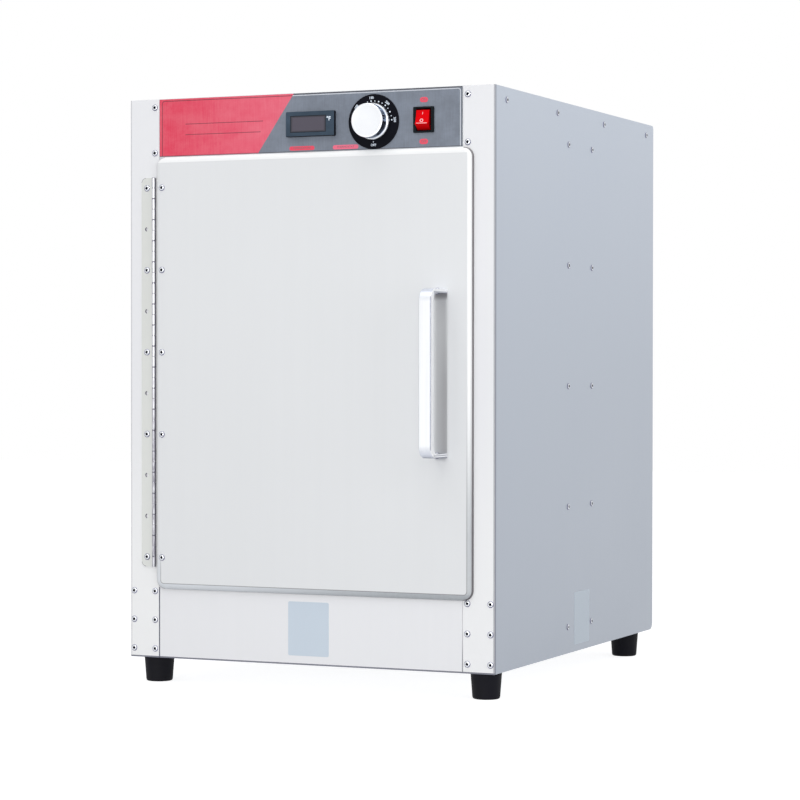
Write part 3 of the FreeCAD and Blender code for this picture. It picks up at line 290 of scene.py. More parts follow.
@dataclass(frozen=True)
class Finish:
    """What all finishes share.

    Args:
        name: The material's name.
        colour: Its base colour in linear light.
        roughness: Its middle roughness.
    """

    name: str
    colour: Colour
    roughness: float

    def material(self) -> bpy.types.Material:
        """The finish's material, made the first time it is asked for."""
        found = bpy.data.materials.get(self.name + "_finish")
        if found:
            return found
        shader = Shader(self.name + "_finish")
        shader.set(Base_Color=self.colour, Roughness=self.roughness)
        self.paint(shader)
        return shader.material

    def shades(self, shader: Shader, share: Value, dark: float, light: float) -> Socket:
        """The finish's colour between two shades of it, made by two factors."""
        return shader.mix(share, shade(self.colour, dark), shade(self.colour, light))

    def paint(self, shader: Shader) -> None:
        """Add the finish's pattern to its shader."""
        raise NotImplementedError


@dataclass(frozen=True)
class BrushedSheet(Finish):
    """Sheet steel with fine brush lines and faint clouds.

    Args:
        grain: Which way the lines run.
        contrast, cloud: How far the lines and the clouds change the colour.
        depth: The depth of the lines.
        metal: How much of it reflects as metal does.
    """

    grain: Grain = Grain.UPRIGHT
    contrast: float = 0.10
    cloud: float = 0.10
    depth: float = 0.012 * MM
    metal: float = 1.0

    def paint(self, shader: Shader) -> None:
        """Add brush lines, clouds and a few longer scratches."""
        fine = shader.noise(self.grain.scale(9.0, 1500.0), 4.0, 0.65)
        broad = shader.noise(self.grain.scale(2.5, 260.0), 3.0, 0.55)
        clouds = shader.noise((5.0, 5.0, 4.0), 4.0, 0.55)
        lines = fine * 0.6 + broad * 0.4
        tone = (lines - 0.5) * self.contrast * 4 + (clouds - 0.5) * self.cloud * 3 + 0.5
        rough = lines * 0.14 + clouds * 0.12 + (self.roughness - 0.13)
        shader.set(Base_Color=self.shades(shader, tone, 0.88, 1.12), Roughness=rough, Metallic=self.metal)
        shader.relief(lines, self.depth)


@dataclass(frozen=True)
class SideSheet(BrushedSheet):
    """The side's sheet, with painted shade that deepens towards its foot and a painted dark line of shade
    along its front bend.

    Args:
        shade_share: How strong the painted shade towards the foot is.
        bend: How far behind the sheet's front edge its bend ends.
        edge_shade: The colour of the painted shade along the bend.
    """

    shade_share: float = 0.72
    bend: float = 4.0 * MM
    edge_shade: Colour = (0.14, 0.15, 0.2)

    def paint(self, shader: Shader) -> None:
        """Add the painted shade towards the foot and along the bend to the brushed sheet."""
        super().paint(shader)
        low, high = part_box("right_side_panel")
        _, inward, up = shader.axes()
        height = (up - low.z) / (high.z - low.z)
        # Painted shade: darker towards the foot and lighter towards the top, as the light falls.
        shader.overlay(self.shade_share, self.shades(shader, height.at_least(0.0), 0.66, 1.16))
        # Painted shade along the front bend, stronger towards the foot.
        bend = low.y + self.bend
        line = 1 - inward.rise(bend - 1.2 * MM, bend + 0.6 * MM)
        shader.overlay(line * (0.85 - height * 0.35), self.edge_shade)


@dataclass(frozen=True)
class HingeSheet(BrushedSheet):
    """The hinge's steel, with a painted highlight on its knuckles and painted shade in the joints between
    them, along the barrel's sides, round the fixed leaf's corners and in its holes.

    Args:
        pitch: The length of a knuckle with its joint.
        barrel: The radius of the knuckles.
        proud: How far they stand off the leaf where their painted highlight starts.
        strong, weak: Half the width of the strong joints and of the weak ones.
        right_line: The painted shade line at the barrel's right, from the pin.
        left_line: Where the painted shade at the barrel's left starts, from the pin.
        lower_left_mottle: The heights between which the mottled darkening at the barrel's lower left ends.
        leaf_corner: The radius of the fixed leaf's corners.
        first_hole: The height of its lowest hole over its foot.
        hole_pitch: The distance between its holes.
        hole_ring: The inner and outer radius of the painted shade on a hole's left side.
        bright, painted_shade: The colours of the painted highlight on the knuckles and of the painted shade
            in the joints and at the sides.
    """

    pitch: float = 12.924 * MM
    barrel: float = 2.3 * MM
    proud: float = 0.5 * MM
    strong: float = 0.75 * MM
    weak: float = 0.45 * MM
    right_line: Span = (1.8 * MM, 2.5 * MM)
    left_line: float = -0.5 * MM
    lower_left_mottle: Span = (0.26, 0.46)
    leaf_corner: float = 6.2 * MM
    first_hole: float = 11.9 * MM
    hole_pitch: float = 50.39 * MM
    hole_ring: Span = (0.9 * MM, 2.7 * MM)
    bright: Colour = (0.84, 0.85, 0.88)
    painted_shade: Colour = (0.05, 0.04, 0.085)

    def paint(self, shader: Shader) -> None:
        """Add a painted highlight on the knuckles, with painted shade in the joints and a painted shade line
        at each side.
        """
        super().paint(shader)
        low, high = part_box("frame_hinge_leaf")
        across, inward, up = shader.axes()
        offset = across - middle_of("hinge_pin").x
        knuckles = offset.size().below(self.barrel) * inward.below(high.y - self.proud)
        place = (up - low.z).cycle(self.pitch * 2)
        # Painted shade in the joints between the knuckles.
        strong = (place - self.pitch).size().below(self.strong)
        weak = place.below(self.weak) + place.above(self.pitch * 2 - self.weak)
        # Painted shade lines along the barrel's right and left sides.
        right = offset.within(*self.right_line) * 0.85
        left = offset.below(self.left_line) * (0.4 + place.below(self.pitch) * 0.2)
        # A mottled darkening that fades out upwards, added to the painted shade at the barrel's left.
        lower_left_mottle = shader.noise((260.0, 260.0, 90.0), 3.0).rise(0.3, 0.7) * 0.45 + 0.3
        left = left.at_least(lower_left_mottle * (1 - up.rise(*self.lower_left_mottle)))
        dark = (strong * 0.95 + weak * 0.75).at_least(right).at_least(left) * knuckles
        # Painted highlight: the knuckles are made brighter than the leaf's steel.
        shader.overlay(knuckles, self.bright)
        # Painted shade round the fixed leaf's corners and in its holes.
        corners = self.corner_line(across, up, low, high)
        holes = self.hole_side(across, up - low.z)
        shader.overlay(dark.at_least(corners).at_least(holes), self.painted_shade)

    def corner_line(self, across: Value, up: Value, low: Vector, high: Vector) -> Value:
        """The painted shade line along the fixed leaf's rounded corners."""
        beside = (low.x + self.leaf_corner - across).at_least(0.0)
        above = up.beyond(low.z + self.leaf_corner, high.z - self.leaf_corner)
        at_corner = beside.above(0.4 * MM) * above.above(0.4 * MM)
        return beside.diagonal(above).above(self.leaf_corner - 0.7 * MM) * at_corner * 0.55

    def hole_side(self, across: Value, height: Value) -> Value:
        """The painted shade on the left sides of the fixed leaf's holes."""
        aside = across - middle_of("frame_hinge_screws").x
        half = self.hole_pitch / 2
        along = (height - self.first_hole + half).cycle(self.hole_pitch) - half
        return aside.diagonal(along).within(*self.hole_ring) * aside.below(-0.2 * MM) * 0.95


@dataclass(frozen=True)
class HandleSheet(BrushedSheet):
    """The handle's bright metal, with painted reflections: bluish at its bends, a painted highlight along
    its right edge, fine painted dark edges and dark bands on its legs.

    Args:
        bar: How thick its bar is, along Y.
        bend: How far from its ends the painted bluish reflection at the bends starts and ends.
        foot_band, crown_band: The painted dark bands of shade and reflection on its legs, from its foot and
            from its top.
        bend_reflection, glint, dark: The colours of the painted reflection at its bends, of the painted
            highlight on its right edge and of its painted dark edges and bands.
    """

    bar: float = 9.5 * MM
    bend: Span = (1.0 * MM, 17.0 * MM)
    foot_band: Span = (2.3 * MM, 3.5 * MM)
    crown_band: Span = (3.0 * MM, 9.0 * MM)
    bend_reflection: Colour = (0.5, 0.56, 0.74)
    glint: Colour = (0.97, 0.98, 1.0)
    dark: Colour = (0.2, 0.22, 0.3)

    def paint(self, shader: Shader) -> None:
        """Add the painted bluish reflection at the bends, the painted highlight, the painted dark edges and
        the painted dark bands on its legs.
        """
        super().paint(shader)
        low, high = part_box("door_handle")
        across, inward, up = shader.axes()
        to_end = (high.z - low.z) / 2 - (up - (high.z + low.z) / 2).size()
        # Painted reflection: bluish towards the bends at both ends.
        shader.overlay((1 - to_end.rise(*self.bend)) * 0.4, self.bend_reflection)
        # Painted highlight along the right edge.
        shader.overlay(across.above(high.x - 0.4 * MM), self.glint)
        # Painted dark lines of reflection along the front's right edge and along the left edge.
        line = across.above(high.x - 0.95 * MM) * inward.below(low.y + 1.3 * MM)
        edge = across.below(low.x + 0.6 * MM)
        shader.overlay((line * 0.75).at_least(edge * 0.5), self.dark)
        # Painted dark bands of shade and reflection on the legs.
        leg = inward.above(low.y + self.bar)
        from_low = up - low.z
        foot = from_low.below(1.1 * MM) + from_low.within(*self.foot_band) * 0.7
        crown = (high.z - up).within(*self.crown_band) * 0.7
        shader.overlay((foot + crown) * leg * 0.85, self.dark)


@dataclass(frozen=True)
class SatinSheet(Finish):
    """Pale coated sheet with a faint texture.

    Args:
        peel: The depth of its texture.
        metal: How much of it reflects as metal does.
    """

    peel: float = 0.01 * MM
    metal: float = 0.0

    def paint(self, shader: Shader) -> None:
        """Add a fine pebbled texture, faint clouds and brush marks."""
        tone = shader.noise(4.0) * 0.6 + shader.noise((160.0, 160.0, 3.0), 2.0) * 0.4
        rough = tone * 0.1 + (self.roughness - 0.05)
        shader.set(Base_Color=self.shades(shader, tone, 0.975, 1.02), Roughness=rough, Metallic=self.metal)
        shader.relief(shader.noise(700.0, 2.0), self.peel)


@dataclass(frozen=True)
class SeamedCoat(SatinSheet):
    """A pale coat with painted shade in the joints where two sheets meet, along its lower edge and along its
    outer edges, and painted light near the strips' foot.

    Args:
        joint: Half the width of a joint.
        joint_top: The height of the joints' upper ends.
        foot_line, edge_line: The widths of the painted shade along the lower edge and along the outer ones.
        pale: The lighter colour laid on the strips near their foot, as painted light.
        pale_rise: The heights between which it ends.
        painted_shade: The colour of the painted shade in the joints and along the edges.
    """

    joint: float = 0.75 * MM
    joint_top: float = 0.119
    foot_line: float = 1.9 * MM
    edge_line: float = 1.4 * MM
    pale: Colour = (0.9, 0.91, 0.9)
    pale_rise: Span = (0.12, 0.4)
    painted_shade: Colour = (0.10, 0.105, 0.15)

    def paint(self, shader: Shader) -> None:
        """Add painted shade in the joints beside the lower panel, along the lower edge and along the outer
        edges, and painted light near the strips' foot.
        """
        super().paint(shader)
        low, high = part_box("right_front_strip")
        across, _, up = shader.axes()
        away = across.size()
        on_right = across.above(0.0)
        # Painted shade in the joints beside the lower panel, fading upwards on the right.
        fade = 1.0 - on_right * (0.4 + (up - low.z).rise(0.0, 0.06) * 0.55)
        joint = (away - low.x).size().below(self.joint) * up.below(self.joint_top) * fade
        # Painted shade along the lower edge.
        foot = up.below(low.z + self.foot_line) * 0.9
        # Painted light: the outer strips are made paler towards their foot.
        strip = away.above(low.x) * (1 - up.rise(*self.pale_rise)) * (0.5 - on_right * 0.15)
        shader.overlay(strip, self.pale)
        # Painted shade along the outer edges, stronger on the right.
        edge = away.above(high.x - self.edge_line) * (0.34 + on_right * 0.16)
        shader.overlay(joint.at_least(foot).at_least(edge), self.painted_shade)


@dataclass(frozen=True)
class DoorCoat(SatinSheet):
    """The door's coat, with painted grey shade along the foot of its rim, a painted highlight along its top,
    and painted shade at its edge.

    Args:
        rim: The width of the door's rim.
        corner: The radius of its corners.
        inner: The radius of the face's corners inside the rim.
        rim_shade, pale_rim_shade: The colours of the painted shade on the rim, at its right end and at its
            left end.
        rim_highlight, painted_shade: The colours of the painted highlight on the rim and of the painted
            shade at the rim's start, at the door's outer edge and behind the handle.
        handle_shadow_left: How far left of the handle the painted shadow behind it starts.
        leg: The thickness of the handle's legs, between which the painted shadow lies.
    """

    rim: float = 6.8 * MM
    corner: float = 12.0 * MM
    inner: float = 4.0 * MM
    rim_shade: Colour = (0.37, 0.395, 0.42)
    pale_rim_shade: Colour = (0.66, 0.69, 0.73)
    rim_highlight: Colour = (0.92, 0.925, 0.93)
    painted_shade: Colour = (0.05, 0.035, 0.045)
    handle_shadow_left: float = 3.7 * MM
    leg: float = 5.0 * MM

    def paint(self, shader: Shader) -> None:
        """Add the painted shade on the rim, its painted highlight, the painted shadow behind the handle and
        the painted shade at the door's edge.
        """
        super().paint(shader)
        low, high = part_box("door_skin")
        across, inward, up = shader.axes()
        on_right = across.above(0.0)
        from_low = up - low.z
        lower = 1 - from_low.rise(0.06, 0.3)
        left_foot = across.below(0.0) * (1 - from_low.rise(0.02, 0.05))
        share = on_right * lower * 0.75 + left_foot * 0.8
        reach = self.rim + self.inner
        depth = across.beyond(low.x + reach, high.x - reach).diagonal((reach - from_low).at_least(0.0))
        # Painted shade on the rim along the door's foot, up the lower right side and at the lower left,
        # mottled paler in places.
        rim_zone = depth.above(self.inner) * from_low.below(self.rim).at_least(share)
        mottle = shader.noise(200.0, 4.0, 0.65).rise(0.25, 0.75)
        edge_shade = shader.mix(across.rise(-0.16, 0.16), self.pale_rim_shade, self.rim_shade)
        shader.overlay(rim_zone, shader.mix(mottle * 0.24, edge_shade, shade(self.rim_shade, 1.5)))
        # Painted shade where the rim starts, along the foot and the lower sides.
        start = (depth - self.inner).size().below(0.5 * MM) * from_low.below(reach).at_least(share)
        shader.overlay(start * 0.55, self.painted_shade)
        # Painted highlight along the rim's top and its upper right side.
        right_crest = (high.x - across).below(self.rim) * (1 - lower)
        shader.overlay((high.z - up).below(self.rim).at_least(right_crest) * 0.7, self.rim_highlight)
        # Painted shadow of the handle on the door behind it.
        shader.overlay(self.handle_shadow(across, up), self.painted_shade)
        # Painted shade along the door's outer edge, stronger on the right, and on the skin's sides behind
        # the rim.
        beside = across.beyond(low.x + self.corner, high.x - self.corner)
        above = up.beyond(low.z + self.corner, high.z - self.corner)
        outline = (self.corner - beside.diagonal(above)).below(1.25 * MM)
        outer = outline * beside.above(0.0) * (0.35 + on_right * 0.45)
        shader.overlay(outer.at_least(inward.above(low.y + 2.9 * MM) * 0.9), self.painted_shade)

    def handle_shadow(self, across: Value, up: Value) -> Value:
        """How dark the painted shadow of the handle on the door's face is."""
        low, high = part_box("door_handle")
        left = low.x - self.handle_shadow_left
        top = high.z - self.leg
        hollow = across.within(left, high.x) * up.within(low.z + self.leg, top)
        shade_share = across.rise(left, high.x) * (0.33 - up.rise(top - 0.12, top - 0.02) * 0.27)
        return hollow * shade_share.at_least(up.rise(top - 10 * MM, top - 2 * MM) * 0.6)


@dataclass(frozen=True)
class Moulded(Finish):
    """Moulded plastic or rubber with a fine grain.

    Args:
        grain_size, depth: The grain's size and depth.
        dust: How much paler its worn and dusty places are.
        shine: How strongly it mirrors.
    """

    grain_size: float = 0.5 * MM
    depth: float = 0.02 * MM
    dust: float = 0.15
    shine: float = 0.5

    def paint(self, shader: Shader) -> None:
        """Add the grain and faint patches of wear."""
        grain = Value(shader, shader.cells(1 / self.grain_size).outputs["Distance"])
        patch = shader.noise(35.0, 5.0, 0.6).rise(0.35, 0.75)
        rough = patch * 0.14 + grain * 0.08 + (self.roughness - 0.08)
        colour = self.shades(shader, patch, 1.0, 1 + self.dust * 3)
        shader.set(Base_Color=colour, Roughness=rough, Specular_IOR_Level=self.shine)
        shader.relief(grain, self.depth)


@dataclass(frozen=True)
class BezelPlastic(Moulded):
    """The thermometer's frame: grey on its face, black on its walls and round the window, with a painted
    shadow line along its foot.

    Args:
        ring: The width of the black edge round the window.
        foot: The width of the painted shadow line along the case's lower edge.
        face: How thick the grey of the face is, along Y.
        wall: The colour of its walls.
    """

    ring: float = 0.85 * MM
    foot: float = 0.8 * MM
    face: float = 0.35 * MM
    wall: Colour = (0.004, 0.004, 0.008)

    def paint(self, shader: Shader) -> None:
        """Add the moulded grain, then the black walls, the window's black edge and the painted shadow line
        along the foot.
        """
        super().paint(shader)
        low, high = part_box("thermometer_window")
        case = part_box("thermometer_case")[0]
        across, inward, up = shader.axes()
        ring = across.beyond(low.x, high.x).at_least(up.beyond(low.z, high.z)).below(self.ring)
        # Painted shadow line along the case's lower edge.
        foot = up.below(case.z + self.foot) * 0.9
        walls = inward.above(case.y + self.face).at_least(foot)
        shader.overlay(walls.at_least(ring * 0.85), self.wall)


@dataclass(frozen=True)
class RockerPlastic(Moulded):
    """The rocker's red plastic, deeper in the shade under its lip.

    Args:
        lip: The height of the lip.
        reach: How far down the shade deepens.
        deep: Its colour under the lip.
    """

    lip: float = 0.6717
    reach: float = 7.0 * MM
    deep: Colour = (0.2, 0.0003, 0.002)

    def paint(self, shader: Shader) -> None:
        """Add the moulded grain, then the shade under the lip."""
        super().paint(shader)
        _, _, up = shader.axes()
        shader.overlay(1 - up.rise(self.lip - self.reach, self.lip), self.deep)


@dataclass(frozen=True)
class Polished(Finish):
    """Bright plated or polished metal with a few smudges."""

    def paint(self, shader: Shader) -> None:
        """Add smudges and fine scratches."""
        smudge = shader.noise(45.0, 4.0, 0.6).rise(0.45, 0.8)
        scratch = shader.noise(900.0, 2.0)
        rough = smudge * 0.16 + scratch * 0.05 + self.roughness
        shader.set(Base_Color=self.shades(shader, smudge, 1.0, 0.9), Roughness=rough, Metallic=1.0)
        shader.relief(scratch, 0.004 * MM)


@dataclass(frozen=True)
class Turned(Finish):
    """Metal turned on a lathe, with fine rings about an axis along Y and painted reflection bands on the
    knob's wall.

    Args:
        centre: A point on the axis.
        ring: The distance between rings.
        wall: Where the knob's wall starts and ends along Y, from the centre.
        dark: The colour of the wall's painted dark reflection bands.
    """

    centre: Point = (0.0878, -0.3, 0.6801)
    ring: float = 0.4 * MM
    wall: Span = (-13.2 * MM, -1.0 * MM)
    dark: Colour = (0.09, 0.11, 0.18)

    def paint(self, shader: Shader) -> None:
        """Add rings round the axis, and the painted reflection bands that a turned wall shows."""
        across, along, up = shader.axes(self.centre)
        radius = across.diagonal(up)
        track = shader.node("ShaderNodeCombineXYZ", {0: radius / self.ring, 1: along / self.ring}).outputs[0]
        rings = shader.value("ShaderNodeTexNoise", {"Vector": track, "Scale": 1.0, "Detail": 2.0})
        smudge = shader.noise(60.0)
        tone = rings * 0.6 + smudge * 0.4
        rough = rings * 0.1 + smudge * 0.06 + (self.roughness - 0.08)
        shader.set(Base_Color=self.shades(shader, tone, 0.94, 1.05), Roughness=rough, Metallic=1.0)
        # Painted reflections on the knob's wall: dark, with paler bands at the sides, higher up and below.
        steep = up / radius.at_least(MM)
        streak = 1 - (steep - 0.06).size().rise(0.08, 0.18)
        upper = steep.rise(0.25, 0.4) * (1 - steep.rise(0.9, 1.0)) * 1.3
        lower = (1 - steep.rise(-0.7, -0.4)) * 0.45
        shine = shader.mix(streak.at_least(upper).at_least(lower), self.dark, shade(self.dark, 7.0))
        shader.overlay(along.within(*self.wall) * 0.85, shine)
        shader.relief(rings, 0.01 * MM)


@dataclass(frozen=True)
class Spangled(Finish):
    """Zinc-coated sheet with a spangle of crystals."""

    def paint(self, shader: Shader) -> None:
        """Add crystals of slightly different brightness."""
        crystal = shader.cells(130.0)
        bright = shader.value("ShaderNodeSeparateColor", {0: crystal.outputs["Color"]})
        rough = bright * 0.18 + (self.roughness - 0.09)
        shader.set(Base_Color=self.shades(shader, bright, 0.82, 1.12), Roughness=rough, Metallic=1.0)
        shader.relief(Value(shader, crystal.outputs["Distance"]), 0.01 * MM)


@dataclass(frozen=True)
class Wool(Finish):
    """Mineral wool with matted fibres."""

    def paint(self, shader: Shader) -> None:
        """Add fibres, with painted shade in the hollows."""
        tone = shader.noise((160.0, 900.0, 700.0), 5.0, 0.7) * 0.55 + shader.noise(60.0, 4.0, 0.6) * 0.45
        shader.set(Base_Color=self.shades(shader, tone.rise(0.3, 0.7), 0.6, 1.2))
        shader.relief(tone, 1.2 * MM)


@dataclass(frozen=True)
class HeatTinted(Finish):
    """A heated steel sheath with straw and blue tints.

    Args:
        tint: The colour of its tinted places.
    """

    tint: Colour = (0.12, 0.09, 0.14)

    def paint(self, shader: Shader) -> None:
        """Add tinted bands and a scaly film."""
        band = shader.noise((14.0, 6.0, 14.0)).rise(0.35, 0.7)
        scale = shader.noise(420.0, 4.0, 0.65)
        rough = scale * 0.25 + (self.roughness - 0.12)
        shader.set(Base_Color=shader.mix(band, self.colour, self.tint), Roughness=rough, Metallic=0.8)
        shader.relief(scale, 0.03 * MM)


@dataclass(frozen=True)
class Ink(Finish):
    """Printed lettering and marks."""

    def paint(self, shader: Shader) -> None:
        """Add the faint unevenness of print."""
        patch = shader.noise(2500.0, 2.0)
        rough = patch * 0.1 + (self.roughness - 0.05)
        shader.set(Base_Color=self.shades(shader, patch, 0.93, 1.04), Roughness=rough)


@dataclass(frozen=True)
class TintedWindow(Finish):
    """A dark clear window, slightly paler where the digits are.

    Args:
        digits: The colour over the digits.
        margin: How far the digits' field stays inside the window.
    """

    digits: Colour = from_screen(74, 69, 82)
    margin: float = 0.6 * MM

    def paint(self, shader: Shader) -> None:
        """Add the digits' field behind the gloss."""
        low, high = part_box("thermometer_window")
        across, _, up = shader.axes(middle_of("thermometer_window"))
        wide = (high.x - low.x) / 2 - self.margin
        tall = (high.z - low.z) / 2 - self.margin
        field = (1 - across.size().rise(wide * 0.9, wide)) * (1 - up.size().rise(tall * 0.85, tall))
        rough = shader.noise(300.0) * 0.08 + self.roughness
        shader.set(Base_Color=shader.mix(field, self.colour, self.digits), Roughness=rough)


@dataclass(frozen=True)
class PanelPrint(Finish):
    """The control panel's printed film: a red field, a grey field and thin rules.

    Args:
        red, pale_red: The left field's colours at its left end and at its right end.
        light_red: The colour of its pale flecks.
        dark_rule, pale_rule: The colours of the rules on red and on grey.
        slant_top, slant_low: Where the two fields meet at the film's top and foot, along X.
        frame_inset: How far the frame rule is from the film's left, right and upper edges.
        frame_corner: The radius of its corners.
        rule: Half the width of the frame rule.
        titles: The height and the two ends of each rule on the red field.
        title: Half the width of those rules.
        painted_shade: The colour of the painted shade along the film's top, right and lower edges.
    """

    red: Colour = from_screen(214, 46, 78)
    pale_red: Colour = from_screen(222, 80, 106)
    light_red: Colour = (1.0, 0.6, 0.65)
    dark_rule: Colour = (0.1, 0.02, 0.03)
    pale_rule: Colour = (0.62, 0.65, 0.7)
    slant_top: float = -17.8 * MM
    slant_low: float = -65.8 * MM
    frame_inset: Point = (3.8 * MM, 2.4 * MM, 2.4 * MM)
    frame_corner: float = 3.0 * MM
    rule: float = 0.5 * MM
    titles: tuple[Point, ...] = ((0.6863, -0.1649, -0.059), (0.6734, -0.1649, -0.0624))
    title: float = 0.45 * MM
    painted_shade: Colour = (0.045, 0.042, 0.055)

    def frame_rule(self, across: Value, up: Value) -> Value:
        """One on the thin frame rule with its rounded corners, and zero elsewhere."""
        low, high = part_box("panel_overlay")
        left, right, top = (inset + self.frame_corner for inset in self.frame_inset)
        above = (up - (high.z - top)).at_least(0.0)
        away = across.beyond(low.x + left, high.x - right).diagonal(above)
        return (away - self.frame_corner).size().below(self.rule)

    def paint(self, shader: Shader) -> None:
        """Add the two fields, their mottling, the rules and the painted shade along the edges."""
        low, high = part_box("panel_overlay")
        across, _, up = shader.axes()
        slope = (self.slant_top - self.slant_low) / (high.z - low.z)
        on_red = across.below((up - low.z) * slope + self.slant_low)
        brush = shader.noise((900.0, 30.0, 40.0))
        tone = shader.noise((30.0, 30.0, 44.0), 6.0, 0.7) * 0.7 + brush * 0.3
        mottle = tone.rise(0.3, 0.7)
        grey = self.shades(shader, mottle, 0.84, 1.18)
        plain_red = shader.mix(across.rise(low.x, self.slant_top), self.red, self.pale_red)
        red = shader.mix(mottle * 0.12, plain_red, self.light_red)
        rough = tone * 0.16 + (self.roughness - 0.08)
        shader.set(Base_Color=shader.mix(on_red, grey, red), Roughness=rough)
        rule = self.frame_rule(across, up)
        dark = rule
        for height, left, right in self.titles:
            dark = dark + (up - height).size().below(self.title) * across.within(left, right)
        shader.overlay(dark * on_red * 0.75, self.dark_rule)
        shader.overlay(rule * (1 - on_red) * 0.9, self.pale_rule)
        # Painted shade along the film's top over the grey field, along its right edge and along its foot.
        top = up.above(high.z - 1.35 * MM) * (1 - on_red) * 0.92
        side = across.above(high.x - 0.9 * MM) * 0.8
        foot = up.below(low.z + 1.0 * MM) * 0.7
        shader.overlay(top.at_least(side).at_least(foot), self.painted_shade)
        shader.relief(brush, 0.006 * MM)


SIDE_STEEL = SideSheet("side_steel", from_screen(188, 196, 208), 0.38, metal=0.6)
ROOF_STEEL = BrushedSheet("roof_steel", from_screen(196, 202, 210), 0.36, grain=Grain.INWARD, metal=0.7)
PLAIN_STEEL = BrushedSheet("plain_steel", from_screen(198, 203, 209), 0.34, grain=Grain.SIDEWAYS, metal=0.8)
LINER_STEEL = BrushedSheet("liner_steel", from_screen(206, 209, 213), 0.28, grain=Grain.INWARD)
PAN_STEEL = BrushedSheet("pan_steel", from_screen(208, 211, 215), 0.28)
HINGE_STEEL = HingeSheet("hinge_steel", from_screen(210, 212, 209), 0.4, contrast=0.05, metal=0.3)
CATCH_STEEL = BrushedSheet("catch_steel", from_screen(190, 193, 196), 0.3)
HANDLE_METAL = HandleSheet("handle_metal", from_screen(232, 234, 237), 0.34, contrast=0.3, cloud=0.02,
                           metal=0.4)
# The handle's inner faces: its metal polished and made darker, as painted shade and dark reflection.
HANDLE_INSIDE = Polished("handle_inside", from_screen(176, 180, 190), 0.2)
FRONT_COAT = SeamedCoat("front_coat", from_screen(229, 230, 233), 0.4)
DOOR_COAT = DoorCoat("door_coat", from_screen(222, 224, 226), 0.34)
SCREW_METAL = Polished("screw_metal", from_screen(226, 229, 233), 0.16)
# Near-black painted shade in the screws' recesses, and painted shade on part of their heads' rims.
SCREW_RECESS_SHADE = Moulded("screw_recess_shade", from_screen(6, 6, 22), 0.7, shine=0.02)
SCREW_RIM_SHADE = Moulded("screw_rim_shade", from_screen(118, 119, 142), 0.4, shine=0.3)
SHELF_CHROME = Polished("shelf_chrome", from_screen(214, 217, 222), 0.1)
ZINC = Spangled("zinc_sheet", from_screen(190, 194, 199), 0.42)
WASHER_ZINC = Polished("washer_zinc", from_screen(205, 208, 214), 0.22)
WASHER_COAT = SatinSheet("washer_coat", from_screen(222, 227, 240), 0.35, metal=0.3)
KNOB_METAL = Turned("knob_metal", from_screen(240, 242, 246), 0.24)
COPPER = Polished("copper_tube", from_screen(196, 124, 92), 0.26)
ELEMENT_SHEATH = HeatTinted("element_sheath", (0.19, 0.17, 0.155), 0.45)
BEZEL_PLASTIC = BezelPlastic("bezel_plastic", from_screen(52, 66, 80), 0.45, 0.4 * MM, 0.01 * MM, shine=0.15)
DIAL_PLASTIC = Moulded("dial_plastic", from_screen(10, 11, 18), 0.45, 0.4 * MM, 0.01 * MM, shine=0.05)
BLACK_PLASTIC = Moulded("black_plastic", from_screen(14, 20, 24), 0.5, shine=0.08)
RED_PLASTIC = RockerPlastic("red_plastic", (0.68, 0.0002, 0.003), 0.35, 0.6 * MM, 0.004 * MM, 0.01, 0.05)
FOOT_RUBBER = Moulded("foot_rubber", from_screen(15, 15, 21), 0.6, 0.7 * MM, 0.06 * MM, 0.25, 0.12)
SEAL_RUBBER = Moulded("seal_rubber", from_screen(176, 178, 180), 0.55, 0.9 * MM, 0.04 * MM)
WIRE_COVER = Moulded("wire_cover", from_screen(168, 60, 52), 0.45, 0.8 * MM)
MAGNET = Moulded("magnet_block", from_screen(58, 56, 55), 0.7, 0.6 * MM, 0.05 * MM)
WOOL = Wool("mineral_wool", (0.60, 0.52, 0.28), 0.95)
WHITE_INK = Ink("white_ink", from_screen(228, 238, 250), 0.5)
RED_INK = Ink("red_ink", from_screen(230, 66, 92), 0.45)
PINK_INK = Ink("pink_ink", from_screen(236, 104, 132), 0.45)
GREY_INK = Ink("grey_ink", from_screen(128, 100, 112), 0.5)
# Pale red ink for the rocker's marks, also used for the painted highlight on its lip.
PALE_RED_INK_AND_HIGHLIGHT = Ink("pale_red_ink_and_highlight", from_screen(250, 196, 200), 0.4)
LABEL_FILM = Ink("label_film", from_screen(197, 209, 221), 0.42)
WINDOW = TintedWindow("display_window", from_screen(52, 50, 60), 0.08)
FILM = PanelPrint("panel_print", from_screen(113, 121, 134), 0.42)


# Mesh tools.


def node_mesh(node: str) -> Mesh:
    """A merged copy of a CAD node's mesh."""
    mesh = bmesh.new()
    mesh.from_mesh(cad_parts[node].data)
    bmesh.ops.remove_doubles(mesh, verts=mesh.verts, dist=MERGE)
    return mesh


def islands(mesh: Mesh) -> list[tuple[Vector, Vector]]:
    """The lowest and highest corner of each separate piece of a merged mesh."""
    left = set(mesh.verts)
    boxes = []
    while left:
        queue = [left.pop()]
        points = []
        while queue:
            vert = queue.pop()
            points.append(vert.co)
            near = {edge.other_vert(vert) for edge in vert.link_edges} & left
            left -= near
            queue.extend(near)
        sides = list(zip(*points))
        boxes.append((Vector(map(min, sides)), Vector(map(max, sides))))
    return sorted(boxes, key=lambda pair: tuple(round(part, 4) for part in pair[0]))


def bevel(mesh: Mesh, geom: list, width: float, steps: int, kind: str = "EDGES", clamp: bool = True) -> None:
    """Round edges, or the corners of a face, with a number of faces."""
    bmesh.ops.bevel(mesh, geom=geom, offset=width, offset_type="OFFSET", segments=steps, profile=0.5,
                    affect=kind, clamp_overlap=clamp, material=-1)


